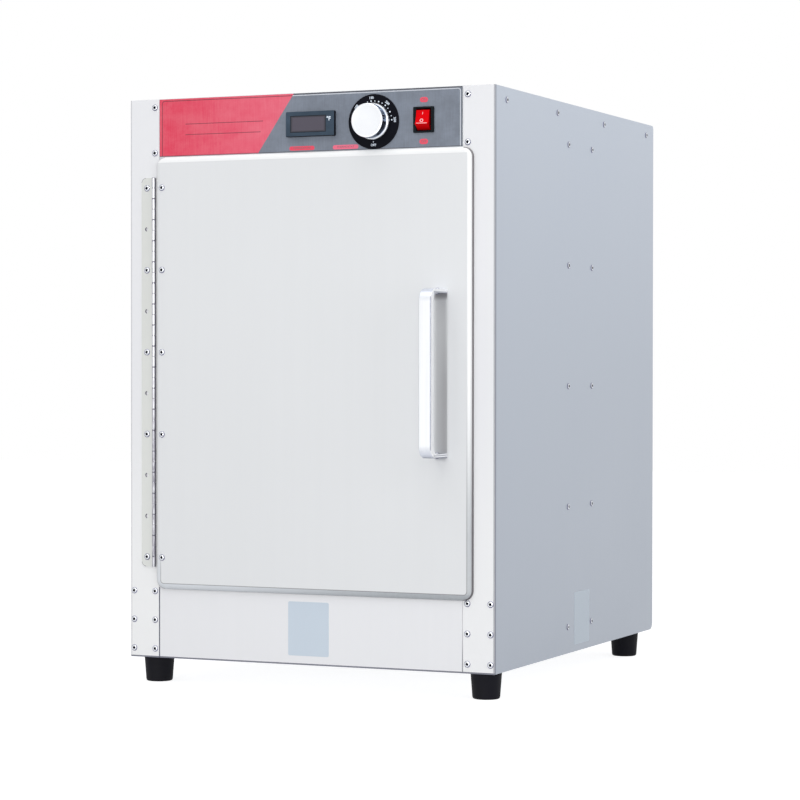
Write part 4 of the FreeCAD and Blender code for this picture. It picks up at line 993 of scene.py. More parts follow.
def sharp_edges(mesh: Mesh, degrees: float = 40.0) -> list[bmesh.types.BMEdge]:
    """The edges whose two faces meet at more than an angle."""
    limit = math.radians(degrees)
    return [edge for edge in mesh.edges if len(edge.link_faces) == 2 and edge.calc_face_angle() > limit]


def block(low: Point, high: Point) -> Mesh:
    """A box between two corners."""
    mesh = bmesh.new()
    bmesh.ops.create_cube(mesh, size=1.0)
    bmesh.ops.scale(mesh, vec=Vector(high) - Vector(low), verts=mesh.verts)
    bmesh.ops.translate(mesh, vec=(Vector(low) + Vector(high)) / 2, verts=mesh.verts)
    return mesh


def round_edges(mesh: Mesh, axis: int, radius: float, steps: int) -> Mesh:
    """Round the edges of a box that run along one axis."""
    chosen = []
    for edge in mesh.edges:
        run = edge.verts[1].co - edge.verts[0].co
        if abs(run[axis]) > 0.99 * run.length:
            chosen.append(edge)
    bevel(mesh, chosen, radius, steps, clamp=False)
    return mesh


def plate(low: Point, high: Point, axis: int, corner: float) -> Mesh:
    """A flat plate that is thin along one axis, with rounded corners."""
    return round_edges(block(low, high), axis, corner, 6)


def lathe(profile: Sequence[Span], steps: int) -> Mesh:
    """A turned form about +Z.

    Args:
        profile: Radius and height in millimetres, from one end of the wall to the other.
        steps: How many faces go round.

    Returns:
        The closed mesh.
    """
    mesh = bmesh.new()
    verts = [mesh.verts.new((radius * MM, 0.0, height * MM)) for radius, height in profile]
    edges = [mesh.edges.new(pair) for pair in zip(verts, verts[1:])]
    bmesh.ops.spin(mesh, geom=verts + edges, cent=(0, 0, 0), axis=(0, 0, 1), angle=FULL_TURN, steps=steps,
                   use_merge=True, use_duplicate=False)
    bmesh.ops.remove_doubles(mesh, verts=mesh.verts, dist=MERGE / 4)
    bmesh.ops.recalc_face_normals(mesh, faces=mesh.faces)
    return mesh


def thicken(mesh: Mesh, reach: float) -> None:
    """Make a solid of a mesh of one face, along +X."""
    made = bmesh.ops.extrude_face_region(mesh, geom=mesh.faces[:])["geom"]
    far = [item for item in made if isinstance(item, bmesh.types.BMVert)]
    bmesh.ops.translate(mesh, vec=(reach, 0, 0), verts=far)
    bmesh.ops.recalc_face_normals(mesh, faces=mesh.faces)


def facing(outward: Point, seat: Vector) -> Matrix:
    """The move that sets a form made about +Z on a seat, with its top outward."""
    turn = Vector((0, 0, 1)).rotation_difference(Vector(outward)).to_matrix().to_4x4()
    return Matrix.Translation(seat) @ turn


def moved(mesh: Mesh, matrix: Matrix) -> Mesh:
    """The same mesh after a move."""
    bmesh.ops.transform(mesh, matrix=matrix, verts=mesh.verts)
    return mesh


def gathered(meshes: Iterable[Mesh]) -> Mesh:
    """Several meshes as one."""
    whole = bmesh.new()
    for mesh in meshes:
        data = bpy.data.meshes.new("part")
        mesh.to_mesh(data)
        mesh.free()
        whole.from_mesh(data)
        bpy.data.meshes.remove(data)
    return whole


def linked(name: str, data: Any) -> bpy.types.Object:
    """A new object in the scene."""
    made = bpy.data.objects.new(name, data)
    bpy.context.scene.collection.objects.link(made)
    return made


def lettering(word: str, height: float, middle: Vector, turn: float = 0.0, thick: float = 0.06 * MM,
              weight: float = 0.0) -> Mesh:
    """A word that faces the front, as a thin solid.

    Args:
        word: The letters.
        height: The height of a capital.
        middle: The middle of the word on its back plane.
        turn: How far it turns clockwise seen from the front, in radians.
        thick: Its thickness.
        weight: How much each stroke grows on either side.

    Returns:
        The mesh.
    """
    data = bpy.data.curves.new(word, "FONT")
    data.body = word
    data.size = height / 0.7
    data.extrude = thick / 2
    data.offset = weight
    data.resolution_u = 3
    data.align_x = "CENTER"
    data.align_y = "CENTER"
    carrier = linked(word, data)
    bpy.context.view_layer.update()
    shape = bpy.data.meshes.new_from_object(carrier.evaluated_get(bpy.context.evaluated_depsgraph_get()))
    mesh = bmesh.new()
    mesh.from_mesh(shape)
    bpy.data.objects.remove(carrier)
    bpy.data.curves.remove(data)
    bpy.data.meshes.remove(shape)
    bmesh.ops.remove_doubles(mesh, verts=mesh.verts, dist=MERGE / 20)
    bmesh.ops.recalc_face_normals(mesh, faces=mesh.faces)
    upright = Matrix.Rotation(math.pi / 2, 4, "X") @ Matrix.Rotation(-turn, 4, "Z")
    return moved(mesh, Matrix.Translation(middle - Vector((0, thick / 2, 0))) @ upright)


def place_piece(name: str, mesh: Mesh, finish: Finish, replaces: Sequence[str] = (),
                body: str = "cabinet", smooth: float = 35.0,
                others: Sequence[Finish] = ()) -> bpy.types.Object:
    """Make a finished piece that rides on a CAD body.

    Args:
        name: The piece's name.
        mesh: Its mesh in the CAD frame, which is used up.
        finish: Its finish.
        replaces: The CAD nodes that it stands for.
        body: The CAD body that it rides on.
        smooth: The angle in degrees up to which its faces blend.
        others: The finishes of the faces that are numbered from one.

    Returns:
        The piece.
    """
    data = bpy.data.meshes.new(name)
    mesh.to_mesh(data)
    mesh.free()
    data.shade_smooth()
    data.set_sharp_from_angle(angle=math.radians(smooth))
    for each in (finish, *others):
        data.materials.append(each.material())
    piece = linked(name, data)
    weighted = piece.modifiers.new("weighted_normals", "WEIGHTED_NORMAL")
    weighted.keep_sharp = True
    weighted.weight = 100
    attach(piece, body)
    if replaces:
        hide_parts(*replaces)
    LOG.info("%s: %d faces on %s", name, len(data.polygons), body)
    return piece


def dress(nodes: str, finish: Finish) -> None:
    """Give CAD nodes, named with spaces between, a finish."""
    for node in nodes.split():
        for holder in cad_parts[node].material_slots:
            holder.material = finish.material()
        LOG.info("%s: %s", node, finish.name)


def ease(nodes: str, finish: Finish, width: float = 0.0, steps: int = 2,
         body: str = "cabinet") -> None:
    """Replace CAD nodes by their own forms with flat faces joined and edges rounded.

    Args:
        nodes: The nodes' names with spaces between.
        finish: Their finish.
        width: How far the rounding of their edges reaches.
        steps: How many faces the rounding has.
        body: The CAD body that they ride on.
    """
    for node in nodes.split():
        mesh = node_mesh(node)
        bmesh.ops.dissolve_limit(mesh, angle_limit=math.radians(0.3), verts=mesh.verts, edges=mesh.edges)
        if width:
            bevel(mesh, sharp_edges(mesh), width, steps)
        place_piece(node + "_eased", mesh, finish, [node], body)


# Sub-assemblies.


@dataclass
class ScrewSet:
    """Pan-head screws with a cross recess, with painted shade in the recess and on part of the head's rim,
    in millimetres.

    Args:
        node: The CAD node with the plain screws.
        outward: The way that their heads face.
        body: The body that they ride on.
        head, rise: The head's radius and height.
        edge: The height of its upright edge.
        rings: The radii of the crown's rings, as shares of the head's.
        arm, slit: Half the length of the recess and half the width of its arms.
        taper: The size of the recess's floor, as a share of its mouth's.
        lip: How high its mouth stands over the crown's last ring.
        sink: Its depth.
        shank: The shank's radius.
        steps: How many faces go round a head.
        twist: The turn from one screw's recess to the next one's, in radians.
        shade_share: Where the head's painted shade rim starts, on its shaded side and elsewhere, as shares
            of its radius.
        shaded: The way that the side with the wider painted shade points.
        spread: How closely a place must lie that way to count as the shaded side.
    """

    node: str
    outward: Point
    body: str = "cabinet"
    head: float = 3.9
    rise: float = 1.8
    edge: float = 0.28
    rings: tuple[float, ...] = (0.93, 0.84, 0.74, 0.64)
    arm: float = 1.85
    slit: float = 0.95
    taper: float = 0.85
    lip: float = 0.06
    sink: float = 1.1
    shank: float = 1.75
    steps: int = 24
    twist: float = 2.399
    shade_share: Span = (0.72, 0.87)
    shaded: Point = (0.3, 0.0, -0.95)
    spread: float = 0.35

    def recess_reach(self, angle: float) -> float:
        """How far the cross recess reaches from the head's middle at an angle."""
        along = abs(math.cos(angle)) + 1e-9
        across = abs(math.sin(angle)) + 1e-9
        return max(min(self.arm / along, self.slit / across), min(self.slit / along, self.arm / across))

    def pattern(self, grip: float, twist: float) -> Mesh:
        """One screw about +Z with its head's seat on z = 0.

        Args:
            grip: How far the shank reaches, in millimetres.
            twist: How far the recess is turned, in radians.

        Returns:
            The closed mesh.
        """
        ball = (self.head ** 2 + self.rise ** 2) / (2 * self.rise)
        mesh = bmesh.new()
        made = bmesh.ops.create_circle(mesh, cap_ends=False, segments=self.steps, radius=self.shank * MM)
        bmesh.ops.translate(mesh, vec=(0, 0, -grip * MM), verts=made["verts"])
        bmesh.ops.contextual_create(mesh, geom=list(made["verts"]))
        edges = list(mesh.edges)
        levels = [(self.shank, 0.0), (self.head, 0.0), (self.head, self.edge)]
        for share in self.rings:
            radius = self.head * share
            levels.append((radius, math.sqrt(ball ** 2 - radius ** 2) - ball + self.rise))
        top = levels[-1][1] + self.lip
        for radius, height in levels:
            edges = self.next_ring(mesh, edges, lambda angle, r=radius: r, height)
        edges = self.next_ring(mesh, edges, self.recess_reach, top)
        plain = set(mesh.faces)
        edges = self.next_ring(mesh, edges, lambda angle: self.recess_reach(angle) * self.taper,
                               top - self.sink)
        bmesh.ops.contextual_create(mesh, geom=edges)
        # The recess's faces take the second finish, painted shade.
        for face in set(mesh.faces) - plain:
            face.material_index = 1
        bmesh.ops.recalc_face_normals(mesh, faces=mesh.faces)
        bmesh.ops.rotate(mesh, cent=(0, 0, 0), matrix=Matrix.Rotation(twist, 3, "Z"), verts=mesh.verts)
        return mesh

    def next_ring(self, mesh: Mesh, edges: list, reach: Callable[[float], float], height: float) -> list:
        """Extrude a ring of edges to a new outline at a height."""
        made = bmesh.ops.extrude_edge_only(mesh, edges=edges)["geom"]
        ring = [item for item in made if isinstance(item, bmesh.types.BMVert)]
        for vert in ring:
            angle = math.atan2(vert.co.y, vert.co.x)
            radius = reach(angle) * MM
            vert.co = Vector((radius * math.cos(angle), radius * math.sin(angle), height * MM))
        return [item for item in made if isinstance(item, bmesh.types.BMEdge)
                and item.verts[0] in ring and item.verts[1] in ring]

    def shaded_rim(self, mesh: Mesh, seat: Vector) -> Mesh:
        """Number the faces of a placed head's rim that take painted shade, which is wider on one side."""
        way = Vector(self.outward)
        for face in mesh.faces:
            arm = face.calc_center_median() - seat
            height = arm.dot(way)
            across = arm - way * height
            share = across.length / (self.head * MM)
            wide = across.normalized().dot(Vector(self.shaded)) > self.spread
            if height > 0 and share > self.shade_share[0 if wide else 1]:
                face.material_index = 2
        return mesh

    def build(self) -> None:
        """Set a screw on each seat of the CAD node."""
        way = Vector(self.outward)
        axis = max(range(3), key=lambda index: abs(way[index]))
        copies = []
        for number, (low, high) in enumerate(islands(node_mesh(self.node))):
            crown = (low + high) / 2
            crown[axis] = high[axis] if way[axis] > 0 else low[axis]
            grip = (high - low)[axis] / MM - self.rise
            seat = crown - way * self.rise * MM
            twist = (number * self.twist) % FULL_TURN
            copies.append(self.shaded_rim(moved(self.pattern(grip, twist), facing(self.outward, seat)), seat))
        # The recesses and rims take the painted shade finishes.
        place_piece(self.node + "_heads", gathered(copies), SCREW_METAL, [self.node],
                    self.body, 30.0, (SCREW_RECESS_SHADE, SCREW_RIM_SHADE))


@dataclass
class Casing:
    """The sheets of the casing and its screws.

    Args:
        edge: The width of the sheets' eased edges.
        side_shade: The way that the wider painted shade on the side screws' rims points.
    """

    edge: float = 0.25 * MM
    side_shade: Point = (0.0, -0.9, -0.4)

    def build(self) -> None:
        """Ease the sheets' edges and dress them."""
        for nodes, finish, slot in (
                ("right_side_panel left_side_panel", SIDE_STEEL, "casing_sheet"),
                ("top_panel", ROOF_STEEL, "casing_sheet"),
                ("back_panel", PLAIN_STEEL, "casing_sheet"),
                ("base_pan", ZINC, "casing_sheet"),
                ("left_front_strip right_front_strip lower_front_panel", FRONT_COAT, "front_sheet"),
                ("control_panel", PLAIN_STEEL, "control_sheet")):
            ease(nodes, finish, self.edge)
        dress("right_brace left_brace", ZINC)
        dress("left_insulation right_insulation floor_insulation roof_insulation rear_insulation", WOOL)
        ScrewSet("front_screws", TO_FRONT).build()
        ScrewSet("right_side_screws", (1, 0, 0), shaded=self.side_shade).build()
        ScrewSet("left_side_screws", (-1, 0, 0), shaded=self.side_shade).build()
        ScrewSet("back_screws", (0, 1, 0)).build()


@dataclass
class Labels:
    """Blank label plates on the lower front panel and on the right side.

    Args:
        thick: Their thickness.
        corner: The radius of their corners.
        front_span, front_rise: The front plate's ends along X and Z.
        side_span, side_rise: The side plate's ends along Y and Z.
    """

    thick: float = 0.15 * MM
    corner: float = 2.0 * MM
    front_span: Span = (-25.2 * MM, 28.7 * MM)
    front_rise: Span = (43.0 * MM, 108.0 * MM)
    side_span: Span = (-20.4 * MM, 35.7 * MM)
    side_rise: Span = (40.5 * MM, 106.6 * MM)

    def build(self) -> None:
        """Stick both plates on."""
        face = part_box("lower_front_panel")[0].y
        low = (self.front_span[0], face - self.thick, self.front_rise[0])
        high = (self.front_span[1], face, self.front_rise[1])
        place_piece("front_label", plate(low, high, 1, self.corner), LABEL_FILM)
        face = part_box("right_side_panel")[1].x
        low = (face, self.side_span[0], self.side_rise[0])
        high = (face + self.thick, self.side_span[1], self.side_rise[1])
        place_piece("side_label", plate(low, high, 0, self.corner), LABEL_FILM)


@dataclass
class Feet:
    """Tapered rubber feet with washers over them, in millimetres.

    Args:
        base, top: The radius at a foot's underside and at its upper face.
        height: Its height.
        well, depth: The radius and the depth of the well for the bolt's head.
        bore: The radius of the bolt hole.
        steps: How many faces go round it.
    """

    base: float = 16.3
    top: float = 18.6
    height: float = 30.5
    well: float = 9.0
    depth: float = 18.0
    bore: float = 4.0
    steps: int = 56

    def profile(self) -> list[Span]:
        """The foot's section, from the bolt hole round its outside and back."""
        slope = (self.top - self.base) / self.height
        side = [(self.base + slope * height, height) for height in (self.height - 3.0, 8.0, 3.0)]
        return [(self.bore, self.depth), (self.bore, self.height), (self.top - 0.6, self.height),
                (self.top, self.height - 0.6), *side, (self.base + 0.05, 1.8), (self.base - 0.5, 0.65),
                (self.base - 1.7, 0.0), (self.well + 0.5, 0.0), (self.well, 0.5), (self.well, self.depth),
                (self.bore, self.depth)]

    def build(self) -> None:
        """Make the four feet and dress their bolts."""
        for node in ("front_left_foot", "front_right_foot", "rear_left_foot", "rear_right_foot"):
            middle = middle_of(node)
            middle.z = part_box(node)[0].z
            mesh = moved(lathe(self.profile(), self.steps), Matrix.Translation(middle))
            place_piece(node + "_moulding", mesh, FOOT_RUBBER, [node])
        ease("foot_bolts", WASHER_COAT, 0.15 * MM)


@dataclass
class Door:
    """The door with its skin, pan, seal, hinge leaf and handle.

    Args:
        corner: The radius of the skin's corners.
        rim_width, rim_depth: How far its rounded rim reaches in and falls back.
        rim_steps: How many faces the rim has across.
        sheet: The skin's thickness.
        bar, leg: The thickness of the handle's bar and of its legs.
        outer_bend, inner_bend: The radii where the bar turns into its legs.
        handle_edge: The width of the handle's eased edges.
    """

    corner: float = 12.0 * MM
    rim_width: float = 6.8 * MM
    rim_depth: float = 3.4 * MM
    rim_steps: int = 8
    sheet: float = 0.8 * MM
    bar: float = 9.5 * MM
    leg: float = 5.0 * MM
    outer_bend: float = 15.0 * MM
    inner_bend: float = 10.0 * MM
    handle_edge: float = 0.8 * MM

    def skin(self) -> Mesh:
        """The outer surface of the pressed skin, open at the back."""
        low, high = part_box("door_skin")
        mesh = round_edges(block((low.x, low.y + self.rim_depth, low.z), high), 1, self.corner, 12)
        front = [face for face in mesh.faces if face.normal.y < -0.9]
        for step in range(self.rim_steps):
            start, end = (math.pi / 2 * number / self.rim_steps for number in (step, step + 1))
            inset = self.rim_width * (math.cos(start) - math.cos(end))
            drop = self.rim_depth * (math.sin(end) - math.sin(start))
            bmesh.ops.inset_region(mesh, faces=front, thickness=inset, depth=0.0, use_even_offset=True)
            inner = list({vert for face in front for vert in face.verts})
            bmesh.ops.translate(mesh, vec=(0, -drop, 0), verts=inner)
        back = [face for face in mesh.faces if face.normal.y > 0.9]
        bmesh.ops.delete(mesh, geom=back, context="FACES_ONLY")
        bmesh.ops.recalc_face_normals(mesh, faces=mesh.faces)
        return mesh

    def handle(self) -> Mesh:
        """The handle's form, with its inner faces numbered apart."""
        low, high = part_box("door_handle")
        inner = low.y + self.bar
        corners = [(high.y, low.z), (low.y, low.z), (low.y, high.z), (high.y, high.z),
                   (high.y, high.z - self.leg), (inner, high.z - self.leg),
                   (inner, low.z + self.leg), (high.y, low.z + self.leg)]
        mesh = bmesh.new()
        verts = [mesh.verts.new((low.x, *corner)) for corner in corners]
        mesh.faces.new(verts)
        for pair, radius in ((verts[1:3], self.outer_bend), (verts[5:7], self.inner_bend)):
            bevel(mesh, pair, radius, 10, "VERTICES", False)
        thicken(mesh, high.x - low.x)
        rims = [edge for edge in sharp_edges(mesh) if max(vert.co.y for vert in edge.verts) < high.y - MM
                or abs(edge.verts[0].co.y - edge.verts[1].co.y) > MM]
        bevel(mesh, rims, self.handle_edge, 3)
        middle = (low.z + high.z) / 2
        # The inner faces take the darker second finish, as painted shade and reflection.
        for face in mesh.faces:
            inward = face.normal.z * (1 if face.calc_center_median().z < middle else -1)
            if face.normal.y > 0.25 or inward > 0.4:
                face.material_index = 1
        return mesh

    def build(self) -> None:
        """Make the skin, the handle and the rest of the door."""
        skin = place_piece("door_skin_pressed", self.skin(), DOOR_COAT, ["door_skin"],
                           "door", 40.0)
        wall = skin.modifiers.new("wall", "SOLIDIFY")
        wall.thickness = self.sheet
        wall.offset = -1.0
        skin.modifiers.move(1, 0)
        ease("door_pan", PAN_STEEL, 0.25 * MM, body="door")
        ease("door_gasket", SEAL_RUBBER, 0.5 * MM, 3, "door")
        dress("door_insulation", WOOL)
        ease("door_hinge_leaf", HINGE_STEEL, 0.12 * MM, body="door")
        place_piece("door_handle_bar", self.handle(), HANDLE_METAL, ["door_handle"], "door",
                    others=(HANDLE_INSIDE,))
        dress("catch_plates", CATCH_STEEL)
        ScrewSet("door_screws", TO_FRONT, "door").build()


@dataclass
class HingeFrameSide:
    """The hinge's fixed leaf, its pin and its screws.

    Args:
        edge: The width of the eased edges.
    """

    edge: float = 0.12 * MM

    def build(self) -> None:
        """Dress the leaf and the pin and set the screws."""
        ease("frame_hinge_leaf", HINGE_STEEL, self.edge)
        ease("hinge_pin", WASHER_ZINC, self.edge)
        ScrewSet("frame_hinge_screws", TO_FRONT).build()


@dataclass
class ControlPanel:
    """The printed film and the marks on it.

    Args:
        raise_by: How far a mark stands off the film.
        end: The radius of a pill's ends, as a share of its height.
    """

    raise_by: float = 0.05 * MM
    end: float = 0.49

    def pill(self, name: str, span: Span, rise: Span, word: str, letter: float, ink: Ink) -> None:
        """A red pill with a word in it.

        Args:
            name: The piece's name.
            span, rise: Its ends along X and Z in millimetres.
            word, letter: The word, and the height of its capitals in millimetres.
            ink: The pill's ink.
        """
        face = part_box("panel_overlay")[0].y
        low = Vector((span[0] * MM, face - self.raise_by, rise[0] * MM))
        high = Vector((span[1] * MM, face, rise[1] * MM))
        corner = (rise[1] - rise[0]) * MM * self.end
        place_piece(name, plate(low, high, 1, corner), ink)
        middle = (low + high) / 2
        middle.y = low.y
        place_piece(name + "_word", lettering(word, letter * MM, middle), GREY_INK)

    def build(self) -> None:
        """Dress the film and add the pills."""
        dress("panel_overlay", FILM)
        self.pill("display_pill", (-23.6, 9.8), (649.3, 654.3), "TEMPERATURE", 2.5, RED_INK)
        self.pill("dial_pill", (34.0, 67.6), (648.9, 654.0), "THERMOSTAT", 2.5, PINK_INK)
        self.pill("on_pill", (147.0, 157.2), (700.6, 706.6), "ON", 2.9, RED_INK)
        self.pill("off_pill", (146.4, 157.3), (651.5, 657.7), "OFF", 2.9, RED_INK)


@dataclass
class Thermometer:
    """The digital thermometer's bezel, window and unit mark.

    Args:
        edge: The width of the bezel's eased edges.
        unit_height, unit_weight: The height of the unit mark and how much its strokes grow.
        unit_place, unit_rise: The X and the height of its middle.
    """

    edge: float = 0.4 * MM
    unit_height: float = 4.6 * MM
    unit_weight: float = 0.22 * MM
    unit_place: float = 31.0 * MM
    unit_rise: float = 685.4 * MM

    def build(self) -> None:
        """Ease the bezel, tint the window and print the unit."""
        ease("thermometer_case", BEZEL_PLASTIC, self.edge, 3)
        dress("thermometer_window", WINDOW)
        middle = Vector((self.unit_place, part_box("thermometer_case")[0].y, self.unit_rise))
        mark = lettering("°F", self.unit_height, middle, weight=self.unit_weight)
        place_piece("unit_mark", mark, WHITE_INK)


@dataclass
class Dial:
    """The dial with its numbers and dots, and the turned knob, in millimetres.

    Args:
        numbers: Each number and its angle clockwise from the top in degrees.
        off_angle: The angle of the OFF mark.
        number_radius, dot_radius: The radii of the numbers' circle and of the dots'.
        dots: How many dots there are.
        dot_start, dot_end: The angles of the first dot and of the last.
        dot_sizes: The radii of a large dot, a small one and the one at OFF.
        letter: The height of the numbers.
        print_shift: How far the print is off the dial's middle, in metres.
        knob: The knob's section from its face's middle round to its shaft hole.
    """

    numbers: tuple[tuple[str, float], ...] = (("100", -50.6), ("150", -4.6), ("200", 41.2), ("250", 87.6))
    off_angle: float = 179.0
    number_radius: float = 28.0
    dot_radius: float = 24.2
    dots: int = 13
    dot_start: float = -52.9
    dot_end: float = 87.4
    dot_sizes: Point = (0.9, 0.62, 0.6)
    letter: float = 2.8
    print_shift: Point = (-0.3 * MM, 0.0, 0.1 * MM)
    knob: tuple[Span, ...] = (
        (0.0, 17.95), (17.2, 17.95), (17.7, 18.2), (18.9, 18.2), (19.7, 17.9), (20.2, 17.2), (20.15, 16.2),
        (19.8, 12.0), (19.5, 8.0), (19.5, 6.6), (19.9, 5.6), (20.8, 4.6), (21.6, 3.4), (22.0, 2.2),
        (22.0, 0.5), (21.6, 0.0), (17.4, 0.0), (17.0, 0.4), (17.0, 12.0), (6.0, 12.0), (6.0, 0.2),
        (3.0, 0.2), (3.0, 8.0), (0.0, 8.0))

    def spot(self, angle: float, radius: float) -> Vector:
        """The place on the dial's face at an angle in degrees and a radius in millimetres."""
        middle = middle_of("dial_plate") + Vector(self.print_shift)
        middle.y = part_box("dial_plate")[0].y
        turn = math.radians(angle)
        return middle + Vector((math.sin(turn), 0.0, math.cos(turn))) * radius * MM

    def dot(self, angle: float, radius: float) -> Mesh:
        """A small raised dot on the dots' circle."""
        profile = [(0.0, 0.0), (radius, 0.0), (radius, 0.05), (0.0, 0.06)]
        return moved(lathe(profile, 14), facing(TO_FRONT, self.spot(angle, self.dot_radius)))

    def marks(self) -> Mesh:
        """The numbers, the dots and the OFF mark."""
        made = []
        for word, angle in self.numbers + (("OFF", self.off_angle),):
            turn = math.radians(angle if word != "OFF" else 0.0)
            middle = self.spot(angle, self.number_radius)
            made.append(lettering(word, self.letter * MM, middle, turn, weight=0.08 * MM))
        for index in range(self.dots):
            angle = self.dot_start + (self.dot_end - self.dot_start) * index / (self.dots - 1)
            made.append(self.dot(angle, self.dot_sizes[index % 2]))
        made.append(self.dot(self.off_angle, self.dot_sizes[2]))
        return gathered(made)

    def build(self) -> None:
        """Make the dial, its marks and the knob."""
        ease("dial_plate", DIAL_PLASTIC)
        place_piece("dial_marks", self.marks(), WHITE_INK)
        seat = middle_of("control_knob")
        seat.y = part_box("control_knob")[1].y
        mesh = moved(lathe(self.knob, 96), facing(TO_FRONT, seat))
        place_piece("turned_knob", mesh, KNOB_METAL, ["control_knob"], "control_knob", 50.0)
        ease("thermostat_shaft", WASHER_ZINC, 0.1 * MM, body="control_knob")
        ease("thermostat", BLACK_PLASTIC, 0.3 * MM)


@dataclass
class Switch:
    """The rocker switch with its red paddle, in millimetres.

    Args:
        tilt: How far the paddle leans at rest, in degrees.
        top, rise: The length of the paddle's face and its height over the pivot.
        base, base_rise: The paddle's length at its widest and the height there.
        foot, foot_drop: Its length at its foot and how far that is behind the pivot.
        width: Its width.
        dish: How far the face is hollowed.
        aside: How far the paddle sits to the left of the frame's middle.
        pivot_depth: How far the pivot is behind the panel's face.
        mark_place: How far the two marks are from the pivot, along Z.
        mark_thick: The thickness of the marks.
        on_mark, off_mark: Their heights and how much their strokes grow.
        edge: The width of the paddle's eased edges.
    """

    tilt: float = 15.0
    top: float = 17.2
    rise: float = 12.0
    base: float = 26.0
    base_rise: float = 2.0
    foot: float = 12.0
    foot_drop: float = 3.0
    width: float = 16.8
    dish: float = 0.5
    aside: float = 1.0
    pivot_depth: float = 7.9
    mark_place: float = 4.6
    mark_thick: float = 0.2
    on_mark: Span = (3.4, 0.05)
    off_mark: Span = (4.0, 0.14)
    edge: float = 0.45

    def outline(self) -> list[Span]:
        """The paddle's side view as places along Z and towards the front."""
        half = self.top / 2
        side = [(self.foot / 2, -self.foot_drop), (self.base / 2, self.base_rise),
                (half + 0.35, self.rise - 0.9), (half, self.rise - 0.15), (half - 0.5, self.rise)]
        face = []
        for index in range(1, 10):
            along = 0.5 - half + (self.top - 1.0) * index / 10
            face.append((along, self.rise - self.dish * math.sin(math.pi * index / 10)))
        return [(-along, rise) for along, rise in side] + face + side[::-1]

    def paddle(self, middle: Vector) -> Mesh:
        """The paddle about its pivot, before it is tilted."""
        mesh = bmesh.new()
        left = middle.x - self.width / 2 * MM
        mesh.faces.new([mesh.verts.new((left, middle.y - rise * MM, middle.z + along * MM))
                        for along, rise in self.outline()])
        thicken(mesh, self.width * MM)
        bevel(mesh, sharp_edges(mesh, 50.0), self.edge * MM, 3)
        return mesh

    def build(self) -> None:
        """Make the paddle with its two marks and a pale plate along its lip as a painted highlight, and
        dress the frame.
        """
        ease("switch_housing", BLACK_PLASTIC, 0.4 * MM, 3)
        across = middle_of("rocker").x - self.aside * MM
        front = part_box("control_panel")[0].y
        middle = Vector((across, front + self.pivot_depth * MM, middle_of("switch_housing").z))
        tilt = Matrix.Rotation(-math.radians(self.tilt), 4, "X")
        lean = Matrix.Translation(middle) @ tilt @ Matrix.Translation(-middle)
        place_piece("rocker_paddle", moved(self.paddle(middle), lean), RED_PLASTIC, ["rocker"],
                    "rocker", 40.0)
        hollow = self.rise - self.dish
        on_spot = middle + Vector((0.0, -hollow - 0.12, self.mark_place)) * MM
        off_spot = middle + Vector((-0.4, -hollow - 0.32, -self.mark_place)) * MM
        # A pale plate along the paddle's lip stands in for a highlight: painted light.
        lip = middle + Vector((0.0, -self.rise - 0.06, 0.9 - self.top / 2)) * MM
        half = Vector((self.width * 0.4, 0.1, 0.32)) * MM
        marks = []
        for word, (height, weight), spot in (("I", self.on_mark, on_spot), ("O", self.off_mark, off_spot)):
            marks.append(lettering(word, height * MM, spot, thick=self.mark_thick * MM, weight=weight * MM))
        marks.append(plate(lip - half, lip + half, 1, 0.3 * MM))
        place_piece("rocker_marks_and_lip_highlight", moved(gathered(marks), lean), PALE_RED_INK_AND_HIGHLIGHT, body="rocker")


@dataclass
class Cavity:
    """The heated cavity with its racks, shelves, tray, element and sensors.

    Args:
        edge, rack_edge: The widths of the eased edges, and of those of the racks.
    """

    edge: float = 0.2 * MM
    rack_edge: float = 0.15 * MM

    def build(self) -> None:
        """Dress the liner and what it holds."""
        ease("cavity_liner", LINER_STEEL, self.edge)
        ease("left_rack right_rack", LINER_STEEL, self.rack_edge)
        for node in ("lower_shelf", "middle_shelf", "upper_shelf"):
            ease(node, SHELF_CHROME, body=node)
        ease("water_tray", PAN_STEEL, self.edge, body="water_tray")
        ease("heating_element", ELEMENT_SHEATH)
        ease("element_brackets", PAN_STEEL, self.edge)
        ease("thermostat_bulb thermometer_probe sensor_clips", COPPER)
        dress("catch_magnets", MAGNET)


@dataclass
class RearFittings:
    """The mains inlet and the wires behind the cavity.

    Args:
        edge: The width of the inlet's eased edges.
    """

    edge: float = 0.4 * MM

    def build(self) -> None:
        """Ease the inlet and dress the wires."""
        ease("power_inlet", BLACK_PLASTIC, self.edge, 3)
        ease("wiring", WIRE_COVER)


# The studio.


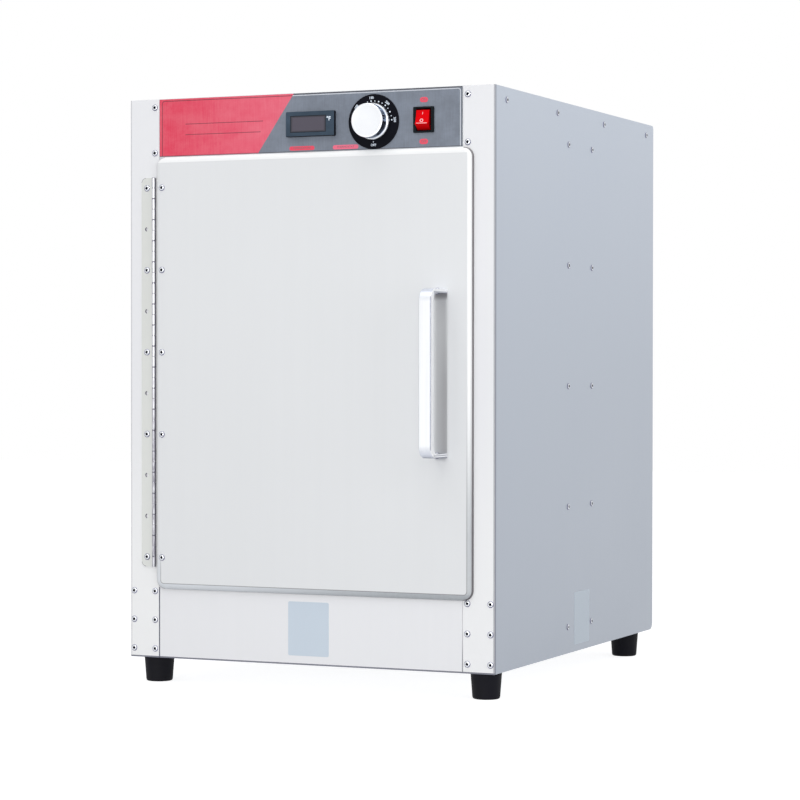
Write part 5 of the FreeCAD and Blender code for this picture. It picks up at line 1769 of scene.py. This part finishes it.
@dataclass
class Studio:
    """The floor, the white surroundings, the lamps and the camera.

    Args:
        lens: The camera's focal length in millimetres.
        spot, aim, roll: Where it stands, what it looks at and how far it is rolled, in degrees.
        ambient: The strength of the surroundings as light.
        floor_reach: Half the floor's width.
        floor_glow: How strongly the floor glows where the camera sees it.
    """

    lens: float = 117.564
    spot: Point = (1.36263, -3.11194, 0.39311)
    aim: Point = (-0.0070321, 0.0, 0.3466954)
    roll: float = 0.044
    ambient: float = 0.66
    floor_reach: float = 6.0
    floor_glow: float = 0.82

    def stance(self, spot: Point, aim: Point, roll: float = 0.0) -> Matrix:
        """The place and turn of a camera or lamp that looks at a point."""
        turn = (Vector(aim) - Vector(spot)).to_track_quat("-Z", "Y").to_matrix().to_4x4()
        return Matrix.Translation(spot) @ turn @ Matrix.Rotation(math.radians(roll), 4, "Z")

    def camera(self) -> None:
        """Set the camera at the photograph's angle."""
        data = bpy.data.cameras.new("camera")
        data.lens = self.lens
        data.sensor_width = 36.0
        data.clip_end = 50.0
        camera = linked("camera", data)
        camera.matrix_world = self.stance(self.spot, self.aim, self.roll)
        bpy.context.scene.camera = camera

    def surroundings(self) -> None:
        """Make the white surroundings, which light the object less than they show."""
        world = bpy.data.worlds.new("surroundings")
        bpy.context.scene.world = world
        world.use_nodes = True
        world.node_tree.nodes.clear()
        graph = Graph(world.node_tree)
        path = graph.node("ShaderNodeLightPath").outputs
        rays = (f"Is {kind} Ray" for kind in ("Camera", "Glossy", "Transmission"))
        camera, glossy, through = (Value(graph, path[ray]) for ray in rays)
        light, shown = (graph.node("ShaderNodeBackground", {"Color": WHITE, "Strength": strength}).outputs[0]
                        for strength in (self.ambient, 1.0))
        share = camera.at_least(glossy.at_least(through))
        mixed = graph.node("ShaderNodeMixShader", {0: share, 1: light, 2: shown})
        graph.node("ShaderNodeOutputWorld", {0: mixed.outputs[0]})

    def floor(self) -> None:
        """Lay the pale floor, which shows as white but keeps the shadow."""
        shader = Shader("pale_floor")
        shader.set(Base_Color=(0.4, 0.4, 0.41), Roughness=0.9, Specular_IOR_Level=0.1)
        path = shader.node("ShaderNodeLightPath").outputs
        seen = Value(shader, path["Is Camera Ray"]) + Value(shader, path["Is Glossy Ray"])
        glow = shader.node("ShaderNodeEmission", {"Color": WHITE, "Strength": self.floor_glow}).outputs[0]
        plain = shader.surface.outputs[0]
        both = shader.node("ShaderNodeAddShader", {0: plain, 1: glow}).outputs[0]
        mixed = shader.node("ShaderNodeMixShader", {0: seen, 1: plain, 2: both}).outputs[0]
        shader.feed(shader.tree.nodes["Material Output"].inputs["Surface"], mixed)
        mesh = bmesh.new()
        bmesh.ops.create_grid(mesh, x_segments=1, y_segments=1, size=self.floor_reach)
        data = bpy.data.meshes.new("floor")
        mesh.to_mesh(data)
        mesh.free()
        data.materials.append(shader.material)
        linked("floor", data)

    def lamp(self, name: str, spot: Point, aim: Point, width: float, power: float) -> None:
        """Hang a square lamp of a width in metres and a power in watts, aimed at a point."""
        data = bpy.data.lights.new(name, "AREA")
        data.size = width
        data.energy = power
        linked(name, data).matrix_world = self.stance(spot, aim)

    def build(self) -> None:
        """Set up the whole studio."""
        self.camera()
        self.surroundings()
        self.floor()
        self.lamp("front_lamp", (0.22, -3.6, 0.55), (0.0, -0.3, 0.4), 0.4, 36.0)
        self.lamp("roof_lamp", (0.0, -1.6, 4.0), (0.0, -0.2, 0.4), 3.0, 46.0)
        self.lamp("right_lamp", (3.4, -1.2, 1.1), (0.1, -0.2, 0.4), 2.4, 26.0)


def main() -> None:
    """Build every sub-assembly and the studio."""
    logging.basicConfig(level=logging.INFO, format="%(name)s %(message)s")
    bpy.context.scene.view_settings.view_transform = "Standard"
    parts = (Casing(), Labels(), Feet(), Door(), HingeFrameSide(), ControlPanel(), Thermometer(), Dial(),
             Switch(), Cavity(), RearFittings(), Studio())
    for part in parts:
        LOG.info("building %s", type(part).__name__)
        part.build()


if __name__ == "__main__":
    main()
